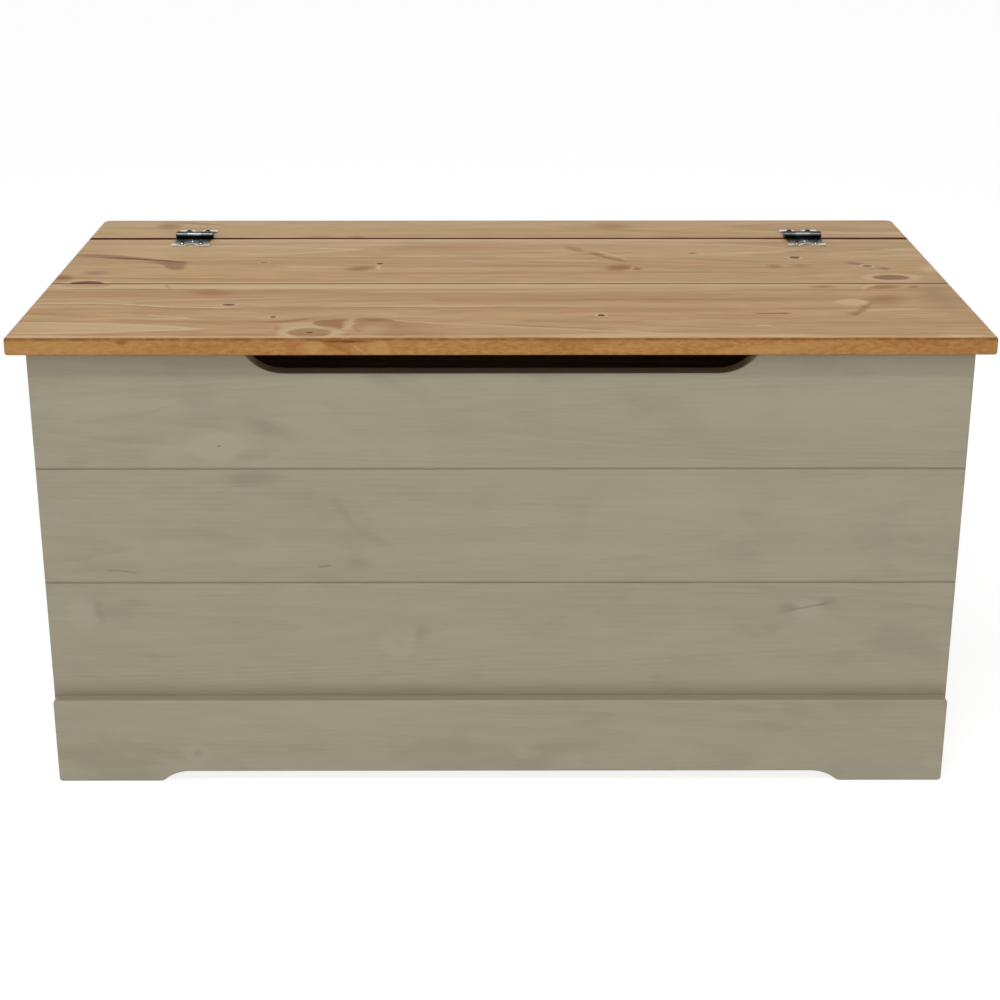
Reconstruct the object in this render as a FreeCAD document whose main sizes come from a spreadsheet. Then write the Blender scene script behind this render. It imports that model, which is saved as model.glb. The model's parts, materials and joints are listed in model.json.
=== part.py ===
"""Storage trunk with a hinged plank lid, on a plinth with bracket feet.

The frame is +Z up and +Y to the rear, with the origin on the floor under the centre
of the top. The front boards carry a long finger cut-out under the lid. The lid turns
on two surface hinges that bridge the gap to a fixed rear rail.
"""

import FreeCAD, Part

import math
import os
import re

import Sketcher

Vector = FreeCAD.Vector

# Every size in millimetres: its name, its value and what it measures.
SIZES = (
    ("trunk_length", 924.6, "top, end to end"),
    ("trunk_depth", 460, "top, front to rear"),
    ("trunk_height", 470, "floor to the lid's top face"),
    ("top_board", 17, "thickness of the lid planks and rear rail"),
    ("overhang", 14, "top beyond the body at the front and rear"),
    ("end_overhang", 16.3, "top beyond the body at each end"),
    ("rail_depth", 87, "fixed rear rail, front to rear"),
    ("lid_gap", 3, "gap between the lid and the rear rail"),
    ("top_round", 3.5, "rounding of the top's upper edges"),
    ("under_round", 1.5, "rounding of the top's lower edges"),
    ("lid_corner", 4.5, "lid's front corners in plan"),
    ("rail_corner", 9, "rail's rear corners in plan"),
    ("gap_round", 0.8, "rounding of the two edges along the gap"),
    ("wall", 17, "thickness of the body boards"),
    ("course", 119.6, "height that one body board covers"),
    ("tongue_length", 6, "tongue beyond its board's edge"),
    ("tongue_thickness", 5, "tongue's thickness"),
    ("tongue_play", 0.2, "clearance of a tongue in its groove"),
    ("seam_gap", 1.8, "shadow gap on the face at each body seam"),
    ("seam_depth", 1.4, "depth of that gap"),
    ("seam_ease", 0.4, "rounding of the gap's two edges"),
    ("plank_bevel", 0.6, "bevel on the face at the lid's seam"),
    ("body_round", 2, "rounding of the body's upright corners"),
    ("cut_flat", 410, "straight bottom of the finger cut-out"),
    ("cut_depth", 22.5, "finger cut-out below the board's edge"),
    ("cut_radius", 44, "arc at each end of the finger cut-out"),
    ("cut_round", 1, "rounding of the cut-out's front edge"),
    ("plinth_board", 12, "thickness of the plinth"),
    ("plinth_height", 91, "height of the plinth"),
    ("plinth_setback", 1, "plinth's end short of the body's side"),
    ("plinth_round", 2.5, "rounding of the plinth's upper front edge"),
    ("plinth_corner", 3.5, "plinth's corners, seen from the front"),
    ("foot_length", 102, "flat bottom of a foot with its corner"),
    ("foot_height", 11, "skirt above the floor between the feet"),
    ("ogee_length", 30, "run of the curve from a foot to the skirt"),
    ("toe_radius", 8, "small arc of that curve, at the foot"),
    ("post_width", 30, "corner post, each way"),
    ("post_round", 3, "rounding of a post's inner edge"),
    ("post_drop", 3, "post's top below the body's top edge"),
    ("batten_width", 20, "base batten, each way"),
    ("base_level", 50, "top of the base battens above the floor"),
    ("base_board", 12, "thickness of the base boards"),
    ("base_play", 0.5, "clearance round the base boards"),
    ("cross_rail_width", 45, "cross rail under the base boards"),
    ("rail_batten_width", 20, "batten under the rear rail, front to rear"),
    ("rail_batten_height", 30, "batten under the rear rail, height"),
    ("lid_batten_width", 45, "lid batten's width"),
    ("lid_batten_thick", 17, "lid batten's thickness"),
    ("lid_batten_gap", 10, "lid batten's distance from what it passes"),
    ("lid_batten_round", 3, "rounding of the lid battens"),
    ("hinge_inset", 120.3, "hinge's centre from the end of the trunk"),
    ("leaf_width", 42, "hinge leaf across its corners"),
    ("leaf_reach", 35, "hinge leaf's end from the pin's axis"),
    ("leaf_thick", 1.4, "hinge leaf's thickness"),
    ("leaf_shoulder", 15, "leaf's side point from the pin's axis"),
    ("leaf_shoulder_in", 1.2, "that point in from the leaf's corner"),
    ("leaf_lug", 9, "straight side of the leaf's corner"),
    ("leaf_neck_radius", 9, "arc between the side point and the barrel"),
    ("leaf_waist", 4.8, "depth of the hollow between the side point and the corner"),
    ("notch_width", 10.5, "arched notch in the leaf's end"),
    ("notch_depth", 7, "depth of that notch"),
    ("notch_radius", 6, "arc of each side of that notch"),
    ("barrel_length", 41, "hinge barrel, end to end"),
    ("barrel_middle", 15.5, "middle knuckle, which turns with the lid"),
    ("barrel_radius", 4, "hinge barrel's radius"),
    ("barrel_lift", 0.3, "barrel's lowest line above the top"),
    ("knuckle_gap", 0.25, "gap between two knuckles"),
    ("pin_radius", 1.8, "hinge pin's radius"),
    ("pin_play", 0.05, "hinge pin's clearance in its knuckles"),
    ("pin_tip", 0.9, "pin's end beyond the barrel"),
    ("pin_end_round", 0.7, "rounding of the pin's ends"),
    ("leaf_relief", 0.4, "clearance of a leaf round the other's knuckle"),
    ("leaf_screw_out", 26, "outer hinge screws from the pin's axis"),
    ("leaf_screw_in", 16.5, "inner hinge screw from the pin's axis"),
    ("leaf_screw_pitch", 21, "between a leaf's two outer screws"),
    ("leaf_screw_length", 14, "hinge screw below its head"),
    ("leaf_screw_radius", 1.5, "hinge screw's radius"),
    ("leaf_head_radius", 3.9, "hinge screw's head radius"),
    ("leaf_head_height", 2.4, "hinge screw's domed head"),
    ("leaf_recess_length", 4.2, "cross recess in a hinge screw's head, across"),
    ("leaf_recess_width", 1.1, "one slot of that cross"),
    ("leaf_recess_depth", 1.5, "that recess below the head's top"),
    ("leaf_hole_play", 0.3, "leaf's hole round its screw"),
    ("screw_radius", 1.9, "wood screw's radius"),
    ("screw_head_radius", 3.8, "wood screw's countersunk head radius"),
    ("screw_head_height", 2.4, "wood screw's countersunk head"),
    ("screw_tip", 3, "point of a wood screw"),
    ("recess_length", 3.6, "cross recess in a wood screw's head, across"),
    ("recess_width", 0.8, "one slot of that cross"),
    ("recess_depth", 1.1, "that recess below the head's face"),
    ("screw_play", 0.05, "clearance of a screw in its hole"),
    ("post_screw_length", 40, "screw from a post into the wall boards"),
    ("batten_screw_length", 32, "screw from a batten into its board"),
    ("base_screw_length", 19, "screw from a base board into its batten"),
    ("plinth_screw_length", 25, "screw from the lowest front board"),
    ("plinth_screw_level", 77, "plinth screws above the floor"),
    ("rail_screw_length", 40, "screw up into the rear rail"),
    ("lid_screw_length", 28, "screw up into the lid planks"),
    ("screw_stagger", 9, "post screws off their board's middle"),
    ("screw_edge", 25, "end screw from its piece's end"),
    ("overrun", 2, "how far a cutting solid runs past"),
)

# Places that other pieces follow, in terms of the sizes.
FRONT = "(-trunk_depth / 2)"
REAR = "(trunk_depth / 2)"
END = "(trunk_length / 2)"
BODY_END = "(trunk_length / 2 - end_overhang)"
BODY_REAR = "(trunk_depth / 2 - overhang)"
PLINTH_END = "(trunk_length / 2 - end_overhang - plinth_setback)"
INNER_END = "(trunk_length / 2 - end_overhang - wall)"
INNER_REAR = "(trunk_depth / 2 - overhang - wall)"
BODY_TOP = "(trunk_height - top_board)"
UPPER_SEAM = f"({BODY_TOP} - course)"
LOWER_SEAM = f"({BODY_TOP} - 2 * course)"
POST_INNER_END = f"({INNER_END} - post_width)"
POST_INNER_REAR = f"({INNER_REAR} - post_width)"
RAIL_FRONT = "(trunk_depth / 2 - rail_depth)"
LID_REAR = f"({RAIL_FRONT} - lid_gap)"
PLANK_SEAM = f"(({LID_REAR} - trunk_depth / 2) / 2)"
HINGE_PLACE = "(trunk_length / 2 - hinge_inset)"
AXIS_PLACE = f"({RAIL_FRONT} - lid_gap / 2)"
AXIS_LEVEL = "(trunk_height + barrel_lift + barrel_radius)"
LEAF_TOP = "(trunk_height + leaf_thick)"
BASE_TOP = "(base_level + base_board)"
BATTEN_MIDDLE = "(base_level - batten_width / 2)"
RAIL_BATTEN_FRONT = f"({POST_INNER_REAR} - rail_batten_width)"
LID_BATTEN_FRONT = f"(lid_batten_gap - {INNER_REAR})"
LID_BATTEN_REAR = f"({RAIL_BATTEN_FRONT} - lid_batten_gap)"
LID_BATTEN_PLACE = f"({POST_INNER_END} - lid_batten_gap - lid_batten_width / 2)"

document = FreeCAD.newDocument("trunk")
sheet = document.addObject("Spreadsheet::Sheet", "Dims")
for row, (alias, value, meaning) in enumerate(SIZES, start=1):
    sheet.set(f"A{row}", meaning)
    sheet.set(f"B{row}", str(value))
    sheet.setAlias(f"B{row}", alias)
document.recompute()

ALIASES = {alias for alias, value, meaning in SIZES}
nodes = {}
bores = {}


def bound(expression):
    """The expression with each size read from the sheet."""

    def from_sheet(match):
        word = match.group(0)
        return f"Dims.{word}" if word in ALIASES else word

    return re.sub(r"[a-z_]+", from_sheet, expression)


def number(expression):
    """The present value of an expression."""
    value = sheet.evalExpression(bound(expression))
    return float(getattr(value, "Value", value))


def constrain(drawing, kind, expression, *elements):
    """Add one constraint to a drawing and tie it to an expression."""
    constraint = Sketcher.Constraint(kind, *elements, number(expression))
    index = drawing.addConstraint(constraint)
    drawing.setExpression(f"Constraints[{index}]", bound(expression))


def new_drawing(body, name, plane, lift="0"):
    """A drawing on one of the body's own planes, lifted along its normal."""
    drawing = body.newObject("Sketcher::SketchObject", name)
    faces = [item for item in body.Origin.OriginFeatures if item.Role == plane]
    drawing.AttachmentSupport = (faces[0], [""])
    drawing.MapMode = "FlatFace"
    drawing.setExpression("AttachmentOffset.Base.z", bound(lift))
    return drawing


def arc_between(start, finish, radius, turn):
    """The shorter arc between two points; turn is 1 for anticlockwise."""
    chord = finish - start
    rise = math.sqrt(max(radius**2 - (chord.Length / 2) ** 2, 0))
    aside = Vector(-chord.y, chord.x, 0).normalize() * (rise * turn)
    centre = (start + finish) / 2 + aside
    first, last = (start, finish) if turn > 0 else (finish, start)
    angles = [math.atan2(end.y - centre.y, end.x - centre.x) for end in (first, last)]
    circle = Part.Circle(centre, Vector(0, 0, 1), radius)
    return Part.ArcOfCircle(circle, *angles)


def draw_path(drawing, path):
    """Draw a closed outline.

    Each corner is (across, up), and its side runs to the next corner. A corner written
    (across, up, radius, turn) starts an arc instead of a straight side.
    """
    spots = [Vector(number(corner[0]), number(corner[1]), 0) for corner in path]
    sides = []
    for place, corner in enumerate(path):
        start, finish = spots[place], spots[(place + 1) % len(path)]
        if len(corner) == 2:
            side = drawing.addGeometry(Part.LineSegment(start, finish), False)
            sides.append((side, 1, 2))
            continue
        radius, turn = corner[2:]
        arc = arc_between(start, finish, number(radius), turn)
        side = drawing.addGeometry(arc, False)
        constrain(drawing, "Radius", radius, side)
        sides.append((side, 1, 2) if turn > 0 else (side, 2, 1))
    for place, (side, begins, ends) in enumerate(sides):
        before, before_begins, before_ends = sides[place - 1]
        joined = Sketcher.Constraint("Coincident", before, before_ends, side, begins)
        drawing.addConstraint(joined)
        constrain(drawing, "DistanceX", path[place][0], -1, 1, side, begins)
        constrain(drawing, "DistanceY", path[place][1], -1, 1, side, begins)


def draw_circle(drawing, across, up, radius):
    """Draw one circle at a place given by expressions."""
    circle = Part.Circle(
        Vector(number(across), number(up), 0), Vector(0, 0, 1), number(radius)
    )
    ring = drawing.addGeometry(circle, False)
    constrain(drawing, "DistanceX", across, -1, 1, ring, 3)
    constrain(drawing, "DistanceY", up, -1, 1, ring, 3)
    constrain(drawing, "Radius", radius, ring)


def box_path(left, low, right, high):
    """Corners of an upright rectangle."""
    return [(left, low), (right, low), (right, high), (left, high)]


def pad(body, name, plane, path, length, lift="0", centred=False):
    """Raise an outline into a solid of the given length."""
    drawing = new_drawing(body, f"{name}_outline", plane, lift)
    draw_path(drawing, path)
    feature = body.newObject("PartDesign::Pad", name)
    feature.Profile = drawing
    feature.setExpression("Length", bound(length))
    if centred:
        feature.SideType = "Symmetric"
    document.recompute()
    return feature


def pocket(body, name, drawing, depth=None, reverse=False):
    """Cut a drawing's outline through the body both ways, or to a depth."""
    before = body.Shape.Volume
    feature = body.newObject("PartDesign::Pocket", name)
    feature.Profile = drawing
    if depth is None:
        feature.Type = "ThroughAll"
        feature.SideType = "Symmetric"
    else:
        feature.setExpression("Length", bound(depth))
        feature.Reversed = reverse
    document.recompute()
    if not body.Shape.Volume < before:
        raise ValueError(f"{body.Name}: {name} cuts nothing")
    return feature


def round_edges(body, name, radius, wanted):
    """Round the edges whose middle point meets the test."""
    tip = body.Tip
    chosen = []
    for place, edge in enumerate(tip.Shape.Edges, start=1):
        if wanted(edge.BoundBox):
            chosen.append(f"Edge{place}")
    if not chosen:
        raise ValueError(f"{body.Name}: {name} finds no edge")
    feature = body.newObject("PartDesign::Fillet", name)
    feature.Base = (tip, chosen)
    feature.setExpression("Radius", bound(radius))
    document.recompute()
    return feature


def near(value, expression):
    """Whether a coordinate lies at a place given by an expression."""
    return abs(value - number(expression)) < Part.Precision.confusion() * 100


def upright(box, across, along):
    """Whether an edge is upright and stands at a place in plan."""
    there = near(box.Center.x, across) and near(box.Center.y, along)
    return there and box.XLength < box.ZLength and box.YLength < box.ZLength


def at_level(box, level):
    """Whether an edge lies flat at a level."""
    return near(box.ZMin, level) and near(box.ZMax, level)


def new_body(name):
    """A body that becomes the node of the same name."""
    body = document.addObject("PartDesign::Body", name)
    nodes[name] = body
    return body


def board_path(low, high, face, back, inward, groove=False, tongue=False):
    """Section of a board as (across its width, through its thickness) corners.

    The groove is in the low edge and the tongue on the high one. inward is 1 or -1,
    the way from the face to the back.
    """
    middle = f"({face} + {back}) / 2"
    tenon = f"{inward} * tongue_thickness / 2"
    slot = f"{inward} * (tongue_thickness / 2 + tongue_play)"
    bottom = f"{low} + tongue_length + tongue_play"
    top = f"{high} + tongue_length"
    path = [(low, face)]
    if groove:
        path += [
            (low, f"{middle} - {slot}"),
            (bottom, f"{middle} - {slot}"),
            (bottom, f"{middle} + {slot}"),
            (low, f"{middle} + {slot}"),
        ]
    path += [(low, back), (high, back)]
    if tongue:
        path += [
            (high, f"{middle} + {tenon}"),
            (top, f"{middle} + {tenon}"),
            (top, f"{middle} - {tenon}"),
            (high, f"{middle} - {tenon}"),
        ]
    path.append((high, face))
    return path


def bevel_path(edge, into, face, inward, bevel):
    """Wedge that bevels a board's face along one edge; into is the way into the board."""
    deep = f"{face} + {inward} * {bevel}"
    proud = f"{face} - {inward} * overrun"
    return [
        (edge, deep),
        (f"{edge} + {into} * ({bevel} + overrun)", proud),
        (f"{edge} - {into} * overrun", proud),
        (f"{edge} - {into} * overrun", deep),
    ]


def gap_path(low, face, inward):
    """Rebate in a board's face along its low edge."""
    deep = f"{face} + {inward} * seam_depth"
    proud = f"{face} - {inward} * overrun"
    return box_path(f"{low} - overrun", deep, f"{low} + seam_gap", proud)


def turned(path):
    """The same outline with its two directions exchanged."""
    return [(up, across) for across, up in path]


def cut_along(body, name, plane, path):
    """Cut one outline right along a board."""
    drawing = new_drawing(body, f"{name}_outline", plane)
    draw_path(drawing, path)
    pocket(body, name, drawing)


def skirt_path(half):
    """Opening between two feet, for a board that ends at plus and minus half."""
    foot = f"({half} - foot_length)"
    skirt = f"({foot} - ogee_length)"
    whole = "((ogee_length ^ 2 + foot_height ^ 2) / (2 * foot_height))"
    bend = f"({foot} - ogee_length * toe_radius / {whole})"
    bend_level = f"(foot_height * toe_radius / {whole})"
    arch = f"({whole} - toe_radius)"
    return [
        (f"-{foot}", "-overrun"),
        (foot, "-overrun"),
        (foot, "0", "toe_radius", -1),
        (bend, bend_level, arch, 1),
        (skirt, "foot_height"),
        (f"-{skirt}", "foot_height", arch, 1),
        (f"-{bend}", bend_level, "toe_radius", -1),
        (f"-{foot}", "0"),
    ]


COURSES = {
    "bottom": ("0", LOWER_SEAM),
    "middle": (LOWER_SEAM, UPPER_SEAM),
    "top": (UPPER_SEAM, BODY_TOP),
}


def wall_board(name, course, plane, face, back, inward, length, corner=None):
    """One tongued and grooved board of the body, level all along.

    corner is where its upright outer edges stand, left and right, if they are rounded.
    """
    low, high = COURSES[course]
    body = new_body(name)
    groove, tongue = course != "bottom", course != "top"
    section = turned(board_path(low, high, face, back, inward, groove, tongue))
    pad(body, "board", plane, section, length, centred=True)
    if corner:
        round_edges(
            body,
            "corners",
            "body_round",
            lambda box: upright(box, f"-{corner}", face) or upright(box, corner, face),
        )
    eased = []
    if groove:
        cut_along(body, "shadow_gap", plane, turned(gap_path(low, face, inward)))
        eased.append(f"{low} + seam_gap")
    if tongue:
        eased.append(high)
    round_edges(
        body,
        "seam_eases",
        "seam_ease",
        lambda box: runs_along(box, plane, face)
        and any(at_level(box, level) for level in eased),
    )
    return body


def runs_along(box, plane, face):
    """Whether an edge lies on the board's face and runs along the board."""
    if plane == "YZ_Plane":
        return box.XLength > number("course") and near(box.YMin, face) and near(box.YMax, face)
    return box.YLength > number("course") and near(box.XMin, face) and near(box.XMax, face)


def cut_skirt(body, plane, half):
    """Cut a board away between its two feet."""
    drawing = new_drawing(body, "skirt_outline", plane)
    draw_path(drawing, skirt_path(half))
    pocket(body, "skirt", drawing)


def make_walls():
    """The boards of the front, the back and the two ends."""
    length = f"2 * {BODY_END}"
    depth = f"2 * {INNER_REAR}"
    for course in COURSES:
        face, back = f"-{BODY_REAR}", f"-{INNER_REAR}"
        name = f"front_board_{course}"
        body = wall_board(name, course, "YZ_Plane", face, back, "1", length, BODY_END)
        if course == "bottom":
            cut_skirt(body, "XZ_Plane", PLINTH_END)
        name = f"back_board_{course}"
        rear = (BODY_REAR, INNER_REAR, "-1")
        body = wall_board(name, course, "YZ_Plane", *rear, length, BODY_END)
        if course == "bottom":
            cut_skirt(body, "XZ_Plane", PLINTH_END)
        for hand, sign, inward in (("left", "-", "1"), ("right", "", "-1")):
            name = f"{hand}_board_{course}"
            side = (f"{sign}{BODY_END}", f"{sign}{INNER_END}", inward)
            body = wall_board(name, course, "XZ_Plane", *side, depth)
            if course == "bottom":
                cut_skirt(body, "YZ_Plane", BODY_REAR)


def cut_finger_hole():
    """The long cut-out in the front's upper edge, and its eased front edge."""
    body = nodes["front_board_top"]
    floor = f"({BODY_TOP} - cut_depth)"
    flat = "(cut_flat / 2)"
    mouth = f"({flat} + sqrt(cut_depth * (2 * cut_radius - cut_depth)))"
    above = f"({BODY_TOP} + overrun)"
    path = [
        (f"-{mouth}", BODY_TOP, "cut_radius", 1),
        (f"-{flat}", floor),
        (flat, floor, "cut_radius", 1),
        (mouth, BODY_TOP),
        (mouth, above),
        (f"-{mouth}", above),
    ]
    drawing = new_drawing(body, "finger_outline", "XZ_Plane")
    draw_path(drawing, path)
    pocket(body, "finger_hole", drawing)
    round_edges(
        body,
        "finger_ease",
        "cut_round",
        lambda box: near(box.YMin, f"-{BODY_REAR}")
        and near(box.YMax, f"-{BODY_REAR}")
        and near(box.ZMin, floor)
        and abs(box.Center.x) < number(mouth),
    )


def make_plinth():
    """The plinth across the front, cut to two bracket feet."""
    front = f"-({BODY_REAR} + plinth_board)"
    body = new_body("plinth_front")
    path = box_path(f"-{PLINTH_END}", "0", PLINTH_END, "plinth_height")
    pad(body, "board", "XZ_Plane", path, "plinth_board", lift=BODY_REAR)
    cut_skirt(body, "XZ_Plane", PLINTH_END)
    round_edges(
        body,
        "corners",
        "plinth_corner",
        lambda box: box.XLength < box.YLength
        and near(abs(box.Center.x), PLINTH_END)
        and (near(box.Center.z, "0") or near(box.Center.z, "plinth_height")),
    )
    round_edges(
        body,
        "face_edges",
        "plinth_round",
        lambda box: near(box.YMin, front)
        and near(box.YMax, front)
        and near(box.ZMax, "plinth_height")
        and box.XLength > number(PLINTH_END),
    )


def make_posts():
    """A square post in each corner, from the floor up."""
    for depth_name, along in (("front", "-"), ("rear", "")):
        for hand, across in (("left", "-"), ("right", "")):
            body = new_body(f"corner_post_{depth_name}_{hand}")
            path = [
                (f"{across}{INNER_END}", f"{along}{INNER_REAR}"),
                (f"{across}{POST_INNER_END}", f"{along}{INNER_REAR}"),
                (f"{across}{POST_INNER_END}", f"{along}{POST_INNER_REAR}"),
                (f"{across}{INNER_END}", f"{along}{POST_INNER_REAR}"),
            ]
            pad(body, "post", "XY_Plane", path, f"{BODY_TOP} - post_drop")
            round_edges(
                body,
                "inner_edge",
                "post_round",
                lambda box: upright(
                    box, f"{across}{POST_INNER_END}", f"{along}{POST_INNER_REAR}"
                ),
            )


def flat_piece(name, left, front, right, rear, bottom, height):
    """A plain level piece, given by its plan and height."""
    body = new_body(name)
    path = box_path(left, front, right, rear)
    pad(body, "bar", "XY_Plane", path, height, lift=bottom)
    return body


def make_base():
    """Battens round the inside, the cross rail on them and the base boards."""
    bottom = "(base_level - batten_width)"
    inner = f"({INNER_REAR} - batten_width)"
    side = f"({INNER_END} - batten_width)"
    bars = {
        "base_batten_front": (f"-{POST_INNER_END}", f"-{INNER_REAR}", POST_INNER_END, f"-{inner}"),
        "base_batten_rear": (f"-{POST_INNER_END}", inner, POST_INNER_END, INNER_REAR),
        "base_batten_left": (f"-{INNER_END}", f"-{POST_INNER_REAR}", f"-{side}", POST_INNER_REAR),
        "base_batten_right": (side, f"-{POST_INNER_REAR}", INNER_END, POST_INNER_REAR),
        "base_cross_rail": ("-cross_rail_width / 2", f"-{inner}", "cross_rail_width / 2", inner),
    }
    for name, plan in bars.items():
        flat_piece(name, *plan, bottom, "batten_width")
    edge = f"({INNER_REAR} - base_play)"
    end = f"({INNER_END} - base_play)"
    seam = f"({edge} / 3)"
    notch_end = f"({POST_INNER_END} - base_play)"
    notch_edge = f"({POST_INNER_REAR} - base_play)"
    flat_piece("base_board_middle", f"-{end}", f"-{seam}", end, seam, "base_level", "base_board")
    for name, way in (("front", "-"), ("rear", "")):
        body = new_body(f"base_board_{name}")
        path = [
            (f"-{notch_end}", f"{way}{edge}"),
            (notch_end, f"{way}{edge}"),
            (notch_end, f"{way}{notch_edge}"),
            (end, f"{way}{notch_edge}"),
            (end, f"{way}{seam}"),
            (f"-{end}", f"{way}{seam}"),
            (f"-{end}", f"{way}{notch_edge}"),
            (f"-{notch_end}", f"{way}{notch_edge}"),
        ]
        pad(body, "board", "XY_Plane", path, "base_board", lift="base_level")


def make_rail():
    """The fixed rear part of the top and the batten that carries it."""
    body = new_body("rear_rail")
    path = box_path(RAIL_FRONT, BODY_TOP, REAR, "trunk_height")
    pad(body, "board", "YZ_Plane", path, "trunk_length", centred=True)
    round_edges(
        body,
        "plan_corners",
        "rail_corner",
        lambda box: upright(box, f"-{END}", REAR) or upright(box, END, REAR),
    )
    for name, level, radius in (
        ("top_edges", "trunk_height", "top_round"),
        ("under_edges", BODY_TOP, "under_round"),
    ):
        round_edges(
            body,
            name,
            radius,
            lambda box: at_level(box, level) and not near(box.YMax, RAIL_FRONT),
        )
    round_edges(
        body,
        "gap_edge",
        "gap_round",
        lambda box: at_level(box, "trunk_height") and near(box.YMax, RAIL_FRONT),
    )
    flat_piece(
        "rail_batten",
        f"-{INNER_END}",
        RAIL_BATTEN_FRONT,
        INNER_END,
        POST_INNER_REAR,
        f"({BODY_TOP} - rail_batten_height)",
        "rail_batten_height",
    )


def make_lid():
    """The lid's two planks and the two battens under them."""
    face = ("trunk_height", BODY_TOP, "-1")
    front = new_body("lid_board_front")
    path = board_path(FRONT, PLANK_SEAM, *face, tongue=True)
    pad(front, "board", "YZ_Plane", path, "trunk_length", centred=True)
    round_edges(
        front,
        "plan_corners",
        "lid_corner",
        lambda box: upright(box, f"-{END}", FRONT) or upright(box, END, FRONT),
    )
    rear = new_body("lid_board_rear")
    path = board_path(PLANK_SEAM, LID_REAR, *face, groove=True)
    pad(rear, "board", "YZ_Plane", path, "trunk_length", centred=True)
    for body in (front, rear):
        for name, level, radius in (
            ("top_edges", "trunk_height", "top_round"),
            ("under_edges", BODY_TOP, "under_round"),
        ):
            round_edges(
                body,
                name,
                radius,
                lambda box: at_level(box, level)
                and not (near(box.YMax, PLANK_SEAM) and near(box.YMin, PLANK_SEAM))
                and not near(box.YMin, LID_REAR),
            )
    round_edges(
        rear,
        "gap_edge",
        "gap_round",
        lambda box: at_level(box, "trunk_height") and near(box.YMin, LID_REAR),
    )
    for body, into in ((front, "-1"), (rear, "1")):
        wedge = bevel_path(PLANK_SEAM, into, "trunk_height", "-1", "plank_bevel")
        cut_along(body, "seam_bevel", "YZ_Plane", wedge)
    for name, middle in lid_batten_places():
        body = flat_piece(
            name,
            f"{middle} - lid_batten_width / 2",
            LID_BATTEN_FRONT,
            f"{middle} + lid_batten_width / 2",
            LID_BATTEN_REAR,
            f"({BODY_TOP} - lid_batten_thick)",
            "lid_batten_thick",
        )
        round_edges(
            body,
            "lower_edges",
            "lid_batten_round",
            lambda box: at_level(box, f"{BODY_TOP} - lid_batten_thick"),
        )


def lid_batten_places():
    """Each lid batten's name and the place of its middle."""
    return (
        ("lid_batten_left", f"(0 - {LID_BATTEN_PLACE})"),
        ("lid_batten_right", LID_BATTEN_PLACE),
    )


def leaf_path(centre, away):
    """Ornamental outline of a leaf that reaches away from the axis, 1 for the rear."""
    turn = -int(away)
    hollow = "((leaf_reach - leaf_lug - leaf_shoulder) ^ 2 + leaf_shoulder_in ^ 2)"
    waist = f"(({hollow} / 4 + leaf_waist ^ 2) / (2 * leaf_waist))"
    half = "barrel_length / 2"
    side = "(leaf_width / 2 - leaf_shoulder_in)"
    neck = f"({AXIS_PLACE} + {away} * (barrel_radius + leaf_thick))"
    shoulder = f"({AXIS_PLACE} + {away} * leaf_shoulder)"
    end = f"({AXIS_PLACE} + {away} * leaf_reach)"
    lug = f"({AXIS_PLACE} + {away} * (leaf_reach - leaf_lug))"
    arch = f"({AXIS_PLACE} + {away} * (leaf_reach - notch_depth))"
    return [
        (f"{centre} + {half}", AXIS_PLACE),
        (f"{centre} + {half}", neck, "leaf_neck_radius", turn),
        (f"{centre} + {side}", shoulder, waist, turn),
        (f"{centre} + leaf_width / 2", lug),
        (f"{centre} + leaf_width / 2", end),
        (f"{centre} + notch_width / 2", end, "notch_radius", turn),
        (centre, arch, "notch_radius", turn),
        (f"{centre} - notch_width / 2", end),
        (f"{centre} - leaf_width / 2", end),
        (f"{centre} - leaf_width / 2", lug, waist, turn),
        (f"{centre} - {side}", shoulder, "leaf_neck_radius", turn),
        (f"{centre} - {half}", neck),
        (f"{centre} - {half}", AXIS_PLACE),
    ]


def leaf_screw_places(centre, away):
    """Places in plan of a leaf's three screws."""
    outer = f"({AXIS_PLACE} + {away} * leaf_screw_out)"
    inner = f"({AXIS_PLACE} + {away} * leaf_screw_in)"
    return (
        (f"{centre} - leaf_screw_pitch / 2", outer),
        (centre, inner),
        (f"{centre} + leaf_screw_pitch / 2", outer),
    )


def make_leaf(name, centre, away, own, other):
    """One leaf: its plate, its own knuckles, and the room for the other's.

    own and other list knuckles as (middle, length) along the barrel.
    """
    body = new_body(name)
    pad(body, "plate", "XY_Plane", leaf_path(centre, away), "leaf_thick", lift="trunk_height")
    clear = f"({AXIS_PLACE} + {away} * (barrel_radius + leaf_relief))"
    beyond = f"({AXIS_PLACE} - {away} * overrun)"
    for place, (middle, length) in enumerate(other):
        reach = f"({length} / 2 + knuckle_gap)"
        path = box_path(f"{middle} - {reach}", beyond, f"{middle} + {reach}", clear)
        drawing = new_drawing(body, f"relief_outline_{place}", "XY_Plane")
        draw_path(drawing, path)
        pocket(body, f"relief_{place}", drawing)
    for place, (middle, length) in enumerate(own):
        drawing = new_drawing(body, f"knuckle_outline_{place}", "YZ_Plane", lift=middle)
        draw_circle(drawing, AXIS_PLACE, AXIS_LEVEL, "barrel_radius")
        knuckle = body.newObject("PartDesign::Pad", f"knuckle_{place}")
        knuckle.Profile = drawing
        knuckle.setExpression("Length", bound(length))
        knuckle.SideType = "Symmetric"
        document.recompute()
    drawing = new_drawing(body, "bore_outline", "YZ_Plane")
    draw_circle(drawing, AXIS_PLACE, AXIS_LEVEL, "pin_radius + pin_play")
    pocket(body, "bore", drawing)
    drawing = new_drawing(body, "hole_outline", "XY_Plane")
    for across, along in leaf_screw_places(centre, away):
        draw_circle(drawing, across, along, "leaf_screw_radius + leaf_hole_play")
    pocket(body, "screw_holes", drawing)


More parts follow.
